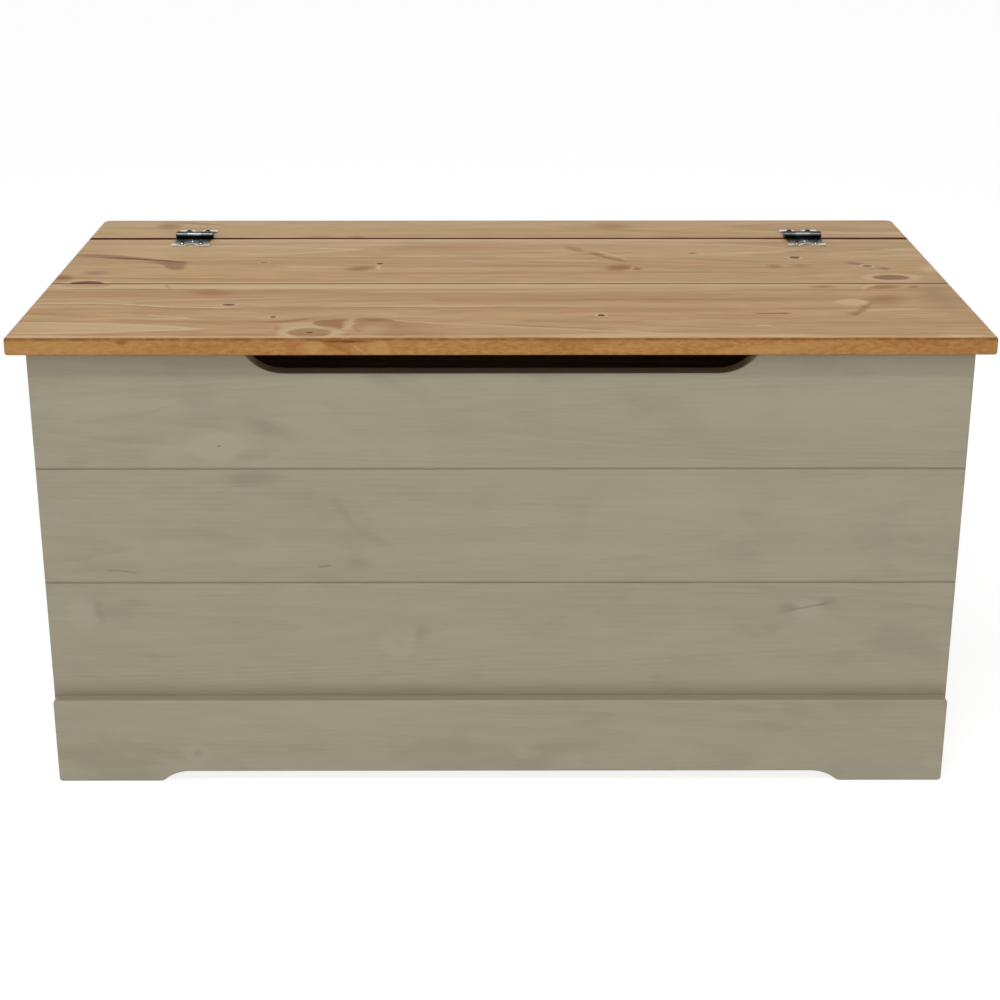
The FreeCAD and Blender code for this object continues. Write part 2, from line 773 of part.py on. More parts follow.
def make_hinges():
    """Both hinges: the rail's leaf, the lid's leaf and the pin."""
    outer_length = "((barrel_length - barrel_middle) / 2 - knuckle_gap)"
    for hand, centre in (("left", f"(0 - {HINGE_PLACE})"), ("right", HINGE_PLACE)):
        offset = f"(barrel_length - {outer_length}) / 2"
        middle = [(centre, "barrel_middle")]
        outer = [(f"({centre} {way} {offset})", outer_length) for way in ("-", "+")]
        make_leaf(f"hinge_{hand}_rail_leaf", centre, "1", outer, middle)
        make_leaf(f"hinge_{hand}_lid_leaf", centre, "-1", middle, outer)
        body = new_body(f"hinge_{hand}_pin")
        drawing = new_drawing(body, "pin_outline", "YZ_Plane", lift=centre)
        draw_circle(drawing, AXIS_PLACE, AXIS_LEVEL, "pin_radius")
        pin = body.newObject("PartDesign::Pad", "pin")
        pin.Profile = drawing
        pin.setExpression("Length", bound("barrel_length + 2 * pin_tip"))
        pin.SideType = "Symmetric"
        document.recompute()
        round_edges(body, "ends", "pin_end_round", lambda box: box.XLength < box.YLength)


def cross_path(length, width):
    """Outline of an upright cross, given its length and the width of its arms."""
    tip, side = f"{length} / 2", f"{width} / 2"
    quarter = [(tip, f"-{side}"), (tip, side), (side, side)]
    path = []
    for step in range(4):
        path += quarter
        quarter = [(turned_side(up), across) for across, up in quarter]
    return path


def turned_side(expression):
    """The same distance on the other side of the centre."""
    return expression[1:] if expression.startswith("-") else f"-{expression}"


def revolve(name, path):
    """A body turned about the upright axis, not itself a node."""
    body = document.addObject("PartDesign::Body", name)
    drawing = new_drawing(body, "half_outline", "XZ_Plane")
    draw_path(drawing, path)
    feature = body.newObject("PartDesign::Revolution", "turned")
    feature.Profile = drawing
    feature.ReferenceAxis = (drawing, ["V_Axis"])
    document.recompute()
    return body


def cut_recess(body, level, kind="recess"):
    """The cross recess in a screw's head, with the sizes of its kind."""
    drawing = new_drawing(body, "recess_outline", "XY_Plane", lift=level)
    draw_path(drawing, cross_path(f"{kind}_length", f"{kind}_width"))
    pocket(body, "recess", drawing, depth=f"{kind}_depth")


def wood_screw(name, length):
    """A countersunk screw that points down from the origin, and its hole."""
    pattern = revolve(
        name,
        [
            ("0", "0"),
            ("screw_head_radius", "0"),
            ("screw_radius", "-screw_head_height"),
            ("screw_radius", f"screw_tip - {length}"),
            ("0", f"-{length}"),
        ],
    )
    cut_recess(pattern, "0")
    hole = revolve(
        f"{name}_hole",
        [
            ("0", "overrun"),
            ("screw_head_radius + screw_play", "overrun"),
            ("screw_head_radius + screw_play", "0"),
            ("screw_radius + screw_play", "-screw_head_height"),
            ("screw_radius + screw_play", f"-{length} - screw_play"),
            ("0", f"-{length} - screw_play"),
        ],
    )
    return pattern, hole


def leaf_screw(name):
    """A domed hinge screw that points down from under its head, and its hole."""
    cap = "((leaf_head_radius ^ 2 + leaf_head_height ^ 2) / (2 * leaf_head_height))"
    pattern = revolve(
        name,
        [
            ("0", "leaf_head_height", cap, -1),
            ("leaf_head_radius", "0"),
            ("leaf_screw_radius", "0"),
            ("leaf_screw_radius", "screw_tip - leaf_screw_length"),
            ("0", "-leaf_screw_length"),
        ],
    )
    cut_recess(pattern, "leaf_head_height", "leaf_recess")
    hole = revolve(
        f"{name}_hole",
        [
            ("0", "0"),
            ("leaf_screw_radius + screw_play", "0"),
            ("leaf_screw_radius + screw_play", "-leaf_screw_length - screw_play"),
            ("0", "-leaf_screw_length - screw_play"),
        ],
    )
    return pattern, hole


HEADINGS = {
    "down": (Vector(1, 0, 0), 0),
    "up": (Vector(1, 0, 0), 180),
    "rear": (Vector(1, 0, 0), 90),
    "front": (Vector(1, 0, 0), -90),
    "left": (Vector(0, 1, 0), 90),
    "right": (Vector(0, 1, 0), -90),
}


def put(pattern, name, place, heading):
    """A copy of a pattern at a place given by expressions, pointing its heading."""
    copy = document.addObject("App::Link", name)
    copy.LinkedObject = pattern
    copy.Placement = FreeCAD.Placement(Vector(), FreeCAD.Rotation(*HEADINGS[heading]))
    for axis, expression in zip("xyz", place):
        copy.setExpression(f"Placement.Base.{axis}", bound(expression))
    return copy


def drive(name, screw, seats):
    """A node of screws, with their holes kept for the pieces they pass.

    Each seat is (place of the head, heading, names of the pieces it goes through).
    """
    pattern, hole = screw
    copies = []
    for place, heading, hosts in seats:
        copies.append(put(pattern, name, place, heading))
        cutter = put(hole, f"{name}_hole", place, heading)
        for host in hosts:
            bores.setdefault(host, []).append(cutter)
    group = document.addObject("Part::Compound", name)
    group.Links = copies
    nodes[name] = group


# Where screws stand along a piece, as shares of half its length.
PLINTH_SCREW_SHARES = (-0.8, -0.4, 0, 0.4, 0.8)
BATTEN_SCREW_SHARES = (-0.75, -0.25, 0.25, 0.75)
SIDE_SCREW_SHARES = (-0.5, 0.5)
BASE_SCREW_SHARES = (-0.5, 0, 0.5)
RAIL_SCREW_SHARES = (-0.6, -0.2, 0.2, 0.6)


def post_seats():
    """Each post's screws into the boards of both walls that it joins."""
    seats = []
    post_end = f"({INNER_END} - post_width / 2)"
    post_rear = f"({INNER_REAR} - post_width / 2)"
    for wall, along, heading in (("front", "-", "front"), ("rear", "", "rear")):
        for hand, across in (("left", "-"), ("right", "")):
            post = f"corner_post_{wall}_{hand}"
            board = "front_board" if wall == "front" else "back_board"
            for course, (low, high) in COURSES.items():
                middle = f"({low} + {high}) / 2"
                place = (f"{across}{post_end}", f"{along}{POST_INNER_REAR}", f"{middle} + screw_stagger")
                seats.append((place, heading, (post, f"{board}_{course}")))
                place = (f"{across}{POST_INNER_END}", f"{along}{post_rear}", f"{middle} - screw_stagger")
                seats.append((place, hand, (post, f"{hand}_board_{course}")))
    return seats


def base_batten_seats():
    """The battens' screws into the lowest boards."""
    seats = []
    inner = f"({INNER_REAR} - batten_width)"
    side = f"({INNER_END} - batten_width)"
    for wall, along, board in (("front", "-", "front_board"), ("rear", "", "back_board")):
        for share in BATTEN_SCREW_SHARES:
            place = (f"{share} * {INNER_END}", f"{along}{inner}", BATTEN_MIDDLE)
            seats.append((place, wall, (f"base_batten_{wall}", f"{board}_bottom")))
    for hand, across in (("left", "-"), ("right", "")):
        for share in SIDE_SCREW_SHARES:
            place = (f"{across}{side}", f"{share} * {POST_INNER_REAR}", BATTEN_MIDDLE)
            seats.append((place, hand, (f"base_batten_{hand}", f"{hand}_board_bottom")))
    return seats


def base_board_seats():
    """The base boards' screws down into the battens and the cross rail."""
    seats = []
    along = f"({INNER_REAR} - base_play)"
    rows = {"front": f"-2 * {along} / 3", "middle": "0", "rear": f"2 * {along} / 3"}
    side = f"({INNER_END} - batten_width / 2)"
    for row, place_along in rows.items():
        board = f"base_board_{row}"
        for across, host in (
            (f"-{side}", "base_batten_left"),
            ("0", "base_cross_rail"),
            (side, "base_batten_right"),
        ):
            seats.append(((across, place_along, BASE_TOP), "down", (board, host)))
    edge = f"({INNER_REAR} - batten_width / 2)"
    for wall, way in (("front", "-"), ("rear", "")):
        for share in BASE_SCREW_SHARES:
            place = (f"{share} * {INNER_END}", f"{way}{edge}", BASE_TOP)
            seats.append((place, "down", (f"base_board_{wall}", f"base_batten_{wall}")))
    return seats


def lid_batten_seats():
    """The lid battens' screws up into both planks."""
    seats = []
    level = f"{BODY_TOP} - lid_batten_thick"
    for batten, middle in lid_batten_places():
        for along, plank in (
            (f"{LID_BATTEN_FRONT} + screw_edge", "lid_board_front"),
            (f"{PLANK_SEAM} - screw_edge", "lid_board_front"),
            (f"{PLANK_SEAM} + screw_edge", "lid_board_rear"),
            (f"{LID_REAR} - leaf_reach - screw_edge", "lid_board_rear"),
        ):
            seats.append(((middle, along, level), "up", (batten, plank)))
    return seats


def make_screws():
    """All the screws, by the joint that they hold."""
    drive("post_screws", wood_screw("post_screw", "post_screw_length"), post_seats())
    batten_screw = wood_screw("batten_screw", "batten_screw_length")
    drive("base_batten_screws", batten_screw, base_batten_seats())
    base_screw = wood_screw("base_screw", "base_screw_length")
    drive("base_board_screws", base_screw, base_board_seats())
    plinth_seats = []
    for share in PLINTH_SCREW_SHARES:
        place = (f"{share} * {BODY_END}", f"-{INNER_REAR}", "plinth_screw_level")
        plinth_seats.append((place, "front", ("front_board_bottom", "plinth_front")))
    drive("plinth_screws", wood_screw("plinth_screw", "plinth_screw_length"), plinth_seats)
    rail_seats = []
    middle = f"({RAIL_BATTEN_FRONT} + rail_batten_width / 2)"
    for share in RAIL_SCREW_SHARES:
        place = (f"{share} * {INNER_END}", middle, f"{BODY_TOP} - rail_batten_height")
        rail_seats.append((place, "up", ("rail_batten", "rear_rail")))
    rail_screw = wood_screw("rail_screw", "rail_screw_length")
    drive("rail_screws", rail_screw, rail_seats)
    end_seats = []
    for hand, across in (("left", "-"), ("right", "")):
        post_end = f"{across}({INNER_END} - post_width / 2)"
        place = (post_end, RAIL_BATTEN_FRONT, f"{BODY_TOP} - rail_batten_height / 2")
        end_seats.append((place, "rear", ("rail_batten", f"corner_post_rear_{hand}")))
    drive("rail_batten_screws", rail_screw, end_seats)
    drive("lid_batten_screws", wood_screw("lid_screw", "lid_screw_length"), lid_batten_seats())
    screw = leaf_screw("hinge_screw")
    for name, away, board in (
        ("rail_hinge_screws", "1", "rear_rail"),
        ("lid_hinge_screws", "-1", "lid_board_rear"),
    ):
        seats = []
        for centre in (f"(0 - {HINGE_PLACE})", HINGE_PLACE):
            for across, along in leaf_screw_places(centre, away):
                seats.append(((across, along, LEAF_TOP), "down", (board,)))
        drive(name, screw, seats)


def bore_pieces():
    """Cut every screw's hole in the pieces that it goes through."""
    for host, cutters in bores.items():
        holes = document.addObject("Part::Compound", f"{host}_holes")
        holes.Links = cutters
        bored = document.addObject("Part::Cut", f"{host}_bored")
        bored.Base = nodes[host]
        bored.Tool = holes
        nodes[host].Label = f"{host}_unbored"
        nodes[host] = bored
    document.recompute()


def check_and_write():
    """Check every object and node, then write one file for each node."""
    document.recompute()
    for item in document.Objects:
        if {"Invalid", "Error"} & set(item.State):
            raise ValueError(f"{item.Label}: {item.State}")
    os.makedirs("parts", exist_ok=True)
    for name, item in nodes.items():
        item.Label = name
        shape = item.Shape
        if shape.isNull() or not shape.isValid() or not shape.Solids:
            raise ValueError(f"{name}: no valid solid")
        print(f"{name}: {len(shape.Solids)} solid, {shape.Volume:.1f} mm3")
        shape.exportStep(f"parts/{name}.step")


make_walls()
cut_finger_hole()
make_plinth()
make_posts()
make_base()
make_rail()
make_lid()
make_hinges()
make_screws()
bore_pieces()
check_and_write()
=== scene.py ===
"""Looks of the storage trunk: waxed pine top, washed pine body, antique hinges.

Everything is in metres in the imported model's frame: +Z up, +Y to the rear, and the
origin on the floor under the middle of the top. Marks in the wood are in millimetres.
"""

import json
import logging
import math
from dataclasses import dataclass, replace
from enum import Enum
from typing import Dict, List, Optional, Sequence, Tuple, Union

import bpy
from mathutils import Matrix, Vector


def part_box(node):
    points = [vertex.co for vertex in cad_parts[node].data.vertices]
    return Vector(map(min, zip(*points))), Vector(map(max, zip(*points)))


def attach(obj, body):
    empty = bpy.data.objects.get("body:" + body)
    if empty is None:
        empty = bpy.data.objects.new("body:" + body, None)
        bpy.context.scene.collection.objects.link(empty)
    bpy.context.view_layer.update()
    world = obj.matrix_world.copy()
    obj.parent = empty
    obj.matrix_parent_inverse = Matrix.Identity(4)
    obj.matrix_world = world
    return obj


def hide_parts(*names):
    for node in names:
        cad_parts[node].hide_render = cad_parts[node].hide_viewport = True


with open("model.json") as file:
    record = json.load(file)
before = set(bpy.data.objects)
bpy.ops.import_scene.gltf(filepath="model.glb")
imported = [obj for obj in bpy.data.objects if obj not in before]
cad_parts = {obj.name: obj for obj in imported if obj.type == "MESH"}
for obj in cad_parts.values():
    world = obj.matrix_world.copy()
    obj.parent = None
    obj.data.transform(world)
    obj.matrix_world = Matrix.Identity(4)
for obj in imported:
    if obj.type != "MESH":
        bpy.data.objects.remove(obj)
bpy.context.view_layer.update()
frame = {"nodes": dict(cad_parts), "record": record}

log = logging.getLogger("trunk")

Point = Tuple[float, float]
Place = Tuple[float, float, float]
Colour = Tuple[float, float, float]
Band = Tuple[float, float, float]
Feed = Union["Signal", float, Sequence[float]]

MM = 0.001
X, Y, Z = 0, 1, 2
WHITE = (1.0, 1.0, 1.0)


def linear(red: int, green: int, blue: int) -> Colour:
    """A colour as it is seen, 0 to 255, as the light that a shader wants.

    Args:
        red: Red as seen.
        green: Green as seen.
        blue: Blue as seen.

    Returns:
        The three values between 0 and 1.
    """

    def level(value: float) -> float:
        """One channel."""
        share = value / 255
        return share / 12.92 if share <= 0.04045 else ((share + 0.055) / 1.055) ** 2.4

    return level(red), level(green), level(blue)


# The bench on which finishes are laid out


@dataclass(frozen=True)
class Signal:
    """A value, vector or colour that runs between the nodes of a finish.

    Attributes:
        bench: Where its node stands.
        socket: The socket that gives it.
    """

    bench: "Bench"
    socket: bpy.types.NodeSocket

    def __add__(self, other: Feed) -> "Signal":
        """Sum."""
        return self.bench.maths("ADD", self, other)

    def __sub__(self, other: Feed) -> "Signal":
        """Difference."""
        return self.bench.maths("SUBTRACT", self, other)

    def __rsub__(self, other: Feed) -> "Signal":
        """Difference, written the other way round."""
        return self.bench.maths("SUBTRACT", other, self)

    def __mul__(self, other: Feed) -> "Signal":
        """Product."""
        return self.bench.maths("MULTIPLY", self, other)

    def __truediv__(self, other: Feed) -> "Signal":
        """Quotient."""
        return self.bench.maths("DIVIDE", self, other)

    def __pow__(self, other: Feed) -> "Signal":
        """Power."""
        return self.bench.maths("POWER", self, other)

    def __abs__(self) -> "Signal":
        """Size without its sign."""
        return self.bench.maths("ABSOLUTE", self)


class Bench:
    """Lays out the nodes of one finish, or of the world."""

    def __init__(self, name: str, world: Optional[bpy.types.World] = None) -> None:
        """Start an empty finish.

        Args:
            name: The finish's name.
            world: The world, where its nodes are wanted instead.
        """
        self.holder = world or bpy.data.materials.new(name)
        self.holder.use_nodes = True
        self.tree = self.holder.node_tree
        self.tree.nodes.clear()
        self.column = 0

    def node(self, kind: str, feeds: Dict[Union[int, str], Feed], **settings: object) -> bpy.types.Node:
        """Add one node.

        Args:
            kind: Its type.
            feeds: What goes into each input, by index or name.
            **settings: Its own settings.

        Returns:
            The node.
        """
        node = self.tree.nodes.new(kind)
        node.location = (self.column * 40, -(self.column % 12) * 160)
        self.column += 1
        for key, value in settings.items():
            setattr(node, key, value)
        for key, value in feeds.items():
            if isinstance(value, Signal):
                self.tree.links.new(value.socket, node.inputs[key])
            else:
                node.inputs[key].default_value = value
        return node

    def signal(
        self, kind: str, feeds: Dict[Union[int, str], Feed], out: Union[int, str] = 0, **settings: object
    ) -> Signal:
        """Add one node and take one of its outputs.

        Args:
            kind: Its type.
            feeds: What goes into each input.
            out: The output that is wanted.
            **settings: Its own settings.

        Returns:
            That output's signal.
        """
        return Signal(self, self.node(kind, feeds, **settings).outputs[out])

    def maths(self, operation: str, *values: Feed) -> Signal:
        """Reckon with one to three numbers."""
        return self.signal("ShaderNodeMath", dict(enumerate(values)), operation=operation)

    def length(self, vector: Signal) -> Signal:
        """A vector's length."""
        return self.signal("ShaderNodeVectorMath", {0: vector}, out=1, operation="LENGTH")

    def scaled(self, colour: Signal, share: Feed) -> Signal:
        """A colour made lighter or darker."""
        return self.signal("ShaderNodeVectorMath", {0: colour, 3: share}, operation="SCALE")

    def place(self) -> Signal:
        """The place on the piece, in the model's frame."""
        return self.signal("ShaderNodeTexCoord", {}, out="Object")

    def facing(self) -> Signal:
        """The way the surface faces, in the piece's own frame."""
        return self.signal("ShaderNodeTexCoord", {}, out="Normal")

    def split(self, vector: Signal) -> Tuple[Signal, Signal, Signal]:
        """A vector's three parts."""
        parts = self.node("ShaderNodeSeparateXYZ", {0: vector}).outputs
        return Signal(self, parts[0]), Signal(self, parts[1]), Signal(self, parts[2])

    def join(self, x: Feed, y: Feed, z: Feed) -> Signal:
        """A vector from its three parts."""
        return self.signal("ShaderNodeCombineXYZ", {0: x, 1: y, 2: z})

    def from_mark(self, vector: Signal, at: Point, turn: float, size: Point) -> Signal:
        """The place as seen from a mark.

        Args:
            vector: The place along and across the board.
            at: The mark's middle.
            turn: Its turn, in degrees.
            size: Half its length and half its width.

        Returns:
            The place, centred on the mark, turned with it and in its sizes.
        """
        feeds = {0: vector, 1: (*at, 0.0), 2: (0.0, 0.0, math.radians(turn)), 3: (*size, 1.0)}
        return self.signal("ShaderNodeMapping", feeds, vector_type="TEXTURE")

    def noise(
        self, vector: Feed, scale: float, detail: float = 2.0, roughness: float = 0.5, out: int = 0
    ) -> Signal:
        """Soft random cloud, 0 to 1."""
        feeds = {"Vector": vector, "Scale": scale, "Detail": detail, "Roughness": roughness}
        return self.signal("ShaderNodeTexNoise", feeds, out=out)

    def ease(self, value: Feed, start: float, end: float, low: float = 0.0, high: float = 1.0) -> Signal:
        """Run smoothly from low to high while the value goes from start to end.

        Args:
            value: The value that runs.
            start: Where it starts.
            end: Where it ends, above the start or below it.
            low: What it gives up to the start.
            high: What it gives from the end on.

        Returns:
            The eased value.
        """
        flip = start > end
        feeds = {0: value, 1: end if flip else start, 2: start if flip else end}
        feeds.update({3: high if flip else low, 4: low if flip else high})
        return self.signal("ShaderNodeMapRange", feeds, interpolation_type="SMOOTHSTEP")

    def mix(self, share: Feed, first: Feed, second: Feed) -> Signal:
        """Mix two colours."""
        feeds = {0: share, 6: self.ink(first), 7: self.ink(second)}
        return self.signal("ShaderNodeMix", feeds, out=2, data_type="RGBA")

    @staticmethod
    def ink(colour: Feed) -> Feed:
        """A colour with its fourth value, or the signal as it is."""
        return colour if isinstance(colour, Signal) else (*colour, 1.0)

    def curve(self, value: Signal, points: Sequence[Point]) -> Signal:
        """A drawn curve from 0 to 1.

        Args:
            value: Place along the curve, 0 to 1.
            points: Its points, from its start to its end.

        Returns:
            Its height at that place.
        """
        node = self.node("ShaderNodeFloatCurve", {0: 1.0, 1: value})
        line = node.mapping.curves[0]
        line.points[0].location = points[0]
        line.points[1].location = points[-1]
        for point in points[1:-1]:
            line.points.new(*point)
        node.mapping.update()
        return Signal(self, node.outputs[0])

    def bump(self, height: Signal, distance: float, strength: float = 1.0) -> Signal:
        """Raise the surface by a height.

        Args:
            height: Height, 0 to 1.
            distance: What 1 stands for, in metres.
            strength: Share of it that shows.

        Returns:
            The raised surface.
        """
        return self.signal("ShaderNodeBump", {"Strength": strength, "Distance": distance, "Height": height})

    def surface(
        self, colour: Feed, roughness: Feed, normal: Optional[Signal] = None, **values: Feed
    ) -> bpy.types.Material:
        """Close the finish with its shader.

        Args:
            colour: Its colour.
            roughness: Its roughness.
            normal: Its raised surface.
            **values: Other inputs, with spaces as underscores.

        Returns:
            The finished material.
        """
        feeds: Dict[Union[int, str], Feed] = {"Base Color": self.ink(colour), "Roughness": roughness}
        if normal:
            feeds["Normal"] = normal
        for key, value in values.items():
            feeds[key.replace("_", " ")] = value
        shader = self.signal("ShaderNodeBsdfPrincipled", feeds)
        self.node("ShaderNodeOutputMaterial", {0: shader})
        return self.holder


# Marks that a board shows


class Tone(Enum):
    """Colours that a mark can take, on a waxed board and then on a washed one."""

    CREAM = linear(219, 192, 151)
    PALE = linear(212, 180, 136)
    BROWN = linear(170, 122, 80)
    DARK = linear(144, 90, 38)
    PURPLE = linear(134, 80, 54)
    BLACK = linear(98, 42, 12)
    RED = linear(158, 98, 62)
    GREY = linear(156, 122, 92)
    HONEY = linear(190, 148, 90)
    CHALK = linear(163, 157, 138)
    ASH = linear(139, 134, 116)
    SOOT = linear(96, 90, 78)


@dataclass(frozen=True)
class Patch:
    """A soft oval of another tone.

    Attributes:
        at: Its middle, along and across the board.
        size: Half its length and half its width.
        tone: Its colour.
        strength: How much of it shows.
        turn: Its turn from the board's length, in degrees.
        edge: Share of its size that it fades over.
    """

    at: Point
    size: Point
    tone: Tone
    strength: float = 0.5
    turn: float = 0.0
    edge: float = 0.8


@dataclass(frozen=True)
class Streak:
    """A line of another tone that follows a drawn course.

    Attributes:
        points: Places along it, along and across the board.
        half: Half its width.
        tone: Its colour.
        strength: How much of it shows.
        fade: Share of its length over which each end fades.
    """

    points: Tuple[Point, ...]
    half: float
    tone: Tone
    strength: float = 0.5
    fade: float = 0.15


@dataclass(frozen=True)
class Knot:
    """A branch's end, with the grain flowing round it.

    Attributes:
        at: Its middle, along and across the board.
        size: Half its width.
        stretch: Its length as a share of its width.
        strength: How dark its heart is.
        turn: Its turn from the board's length, in degrees.
        halo: How much of the pale ring round it shows.
        push: How far it pushes the grain, as a share of its size.
        heart: Colour of its heart.
        rim: How much of the dark line round it shows.
    """

    at: Point
    size: float
    stretch: float = 1.4
    strength: float = 0.6
    turn: float = 0.0
    halo: float = 0.35
    push: float = 1.0
    heart: Tone = Tone.PURPLE
    rim: float = 0.5


@dataclass(frozen=True)
class RingLine:
    """A growth ring that shows as a line, pale on one side and dark on the other.

    Attributes:
        points: Places along it, along and across the board.
        pale: Strength of its pale side, above it.
        dark: Strength of its dark side, below it.
        rim: Width of the pale side.
        shade: Width of the dark side.
        fade: Share of its length over which each end fades.
    """

    points: Tuple[Point, ...]
    pale: float = 0.5
    dark: float = 0.3
    rim: float = 6.0
    shade: float = 8.0
    fade: float = 0.06


@dataclass(frozen=True)
class Field:
    """An area of another tone between two drawn courses.

    Attributes:
        upper: Places along its upper edge.
        lower: Places along its lower edge.
        tone: Its colour.
        strength: How much of it shows.
        edge: Softness of its two long edges.
        fade: Shares of its length over which its start and its end fade.
    """

    upper: Tuple[Point, ...]
    lower: Tuple[Point, ...]
    tone: Tone
    strength: float = 0.5
    edge: float = 2.0
    fade: Point = (0.04, 0.04)


Mark = Union[Patch, Streak, Knot, RingLine, Field]


def tongue(
    tip: Point, upper: Tuple[Point, ...], lower: Tuple[Point, ...], pale: float = 0.6
) -> Tuple[Mark, ...]:
    """A growth ring that the saw cut to a long pointed tongue.

    Args:
        tip: Its point.
        upper: Places along its upper edge, up to the tip.
        lower: Places along its lower edge, up to the tip.
        pale: Strength of its rim.

    Returns:
        The marks that draw it.
    """
    inside = Field((*upper, tip), (*lower, tip), Tone.PALE, 0.35, 3.0, (0.3, 0.02))
    rims = (Streak((*course, tip), 3.2, Tone.CREAM, pale, 0.12) for course in (upper, lower))
    blunt_end = Patch((tip[0] - 7, tip[1]), (12, 3.5), Tone.CREAM, pale, 0.0, 0.7)
    return (inside, *rims, blunt_end)


@dataclass(frozen=True)
class Cut:
    """How a board was sawn from its log, and how it lies in the trunk.

    Attributes:
        along: Axis of its length.
        across: Axis of its width.
        deep: Axis of its thickness.
        face: Place of its shown face on the deep axis.
        out: 1 or -1, the way that face looks along the deep axis.
        heart: Place of the log's heart, across and deep, at the trunk's middle.
        drift: How that place moves, in metres per metre.
        ring: Width of a growth ring.
        seed: Its own place in the random clouds.
    """

    along: int = X
    across: int = Y
    deep: int = Z
    face: float = 0.0
    out: int = 1
    heart: Point = (0.0, 0.0)
    drift: Point = (0.0, 0.03)
    ring: float = 0.0045
    seed: float = 0.0


@dataclass(frozen=True)
class Tones:
    """The colours of one kind of board.

    Attributes:
        early: Wood between the rings.
        late: The rings.
        warm: Streaks of resin.
        fade: Streaks that took less stain.
        rim: Line round a knot.
        end: Sawn ends.
    """

    early: Colour
    late: Colour
    warm: Colour
    fade: Colour
    rim: Colour
    end: Colour


@dataclass(frozen=True)
class Strengths:
    """How strongly the parts of a grain show, from 0 to 1.

    Attributes:
        rings: Growth rings.
        warm: Resin streaks.
        fade: Streaks that took less stain.
        fibre: Fine fibres.
        marks: Knots and other marks.
        waves: How far the grain wanders, in metres.
        pores: How closely the fine lines lie, per metre.
    """

    rings: float = 0.5
    warm: float = 0.5
    fade: float = 0.5
    fibre: float = 0.2
    marks: float = 1.0
    waves: float = 0.008
    pores: float = 420.0


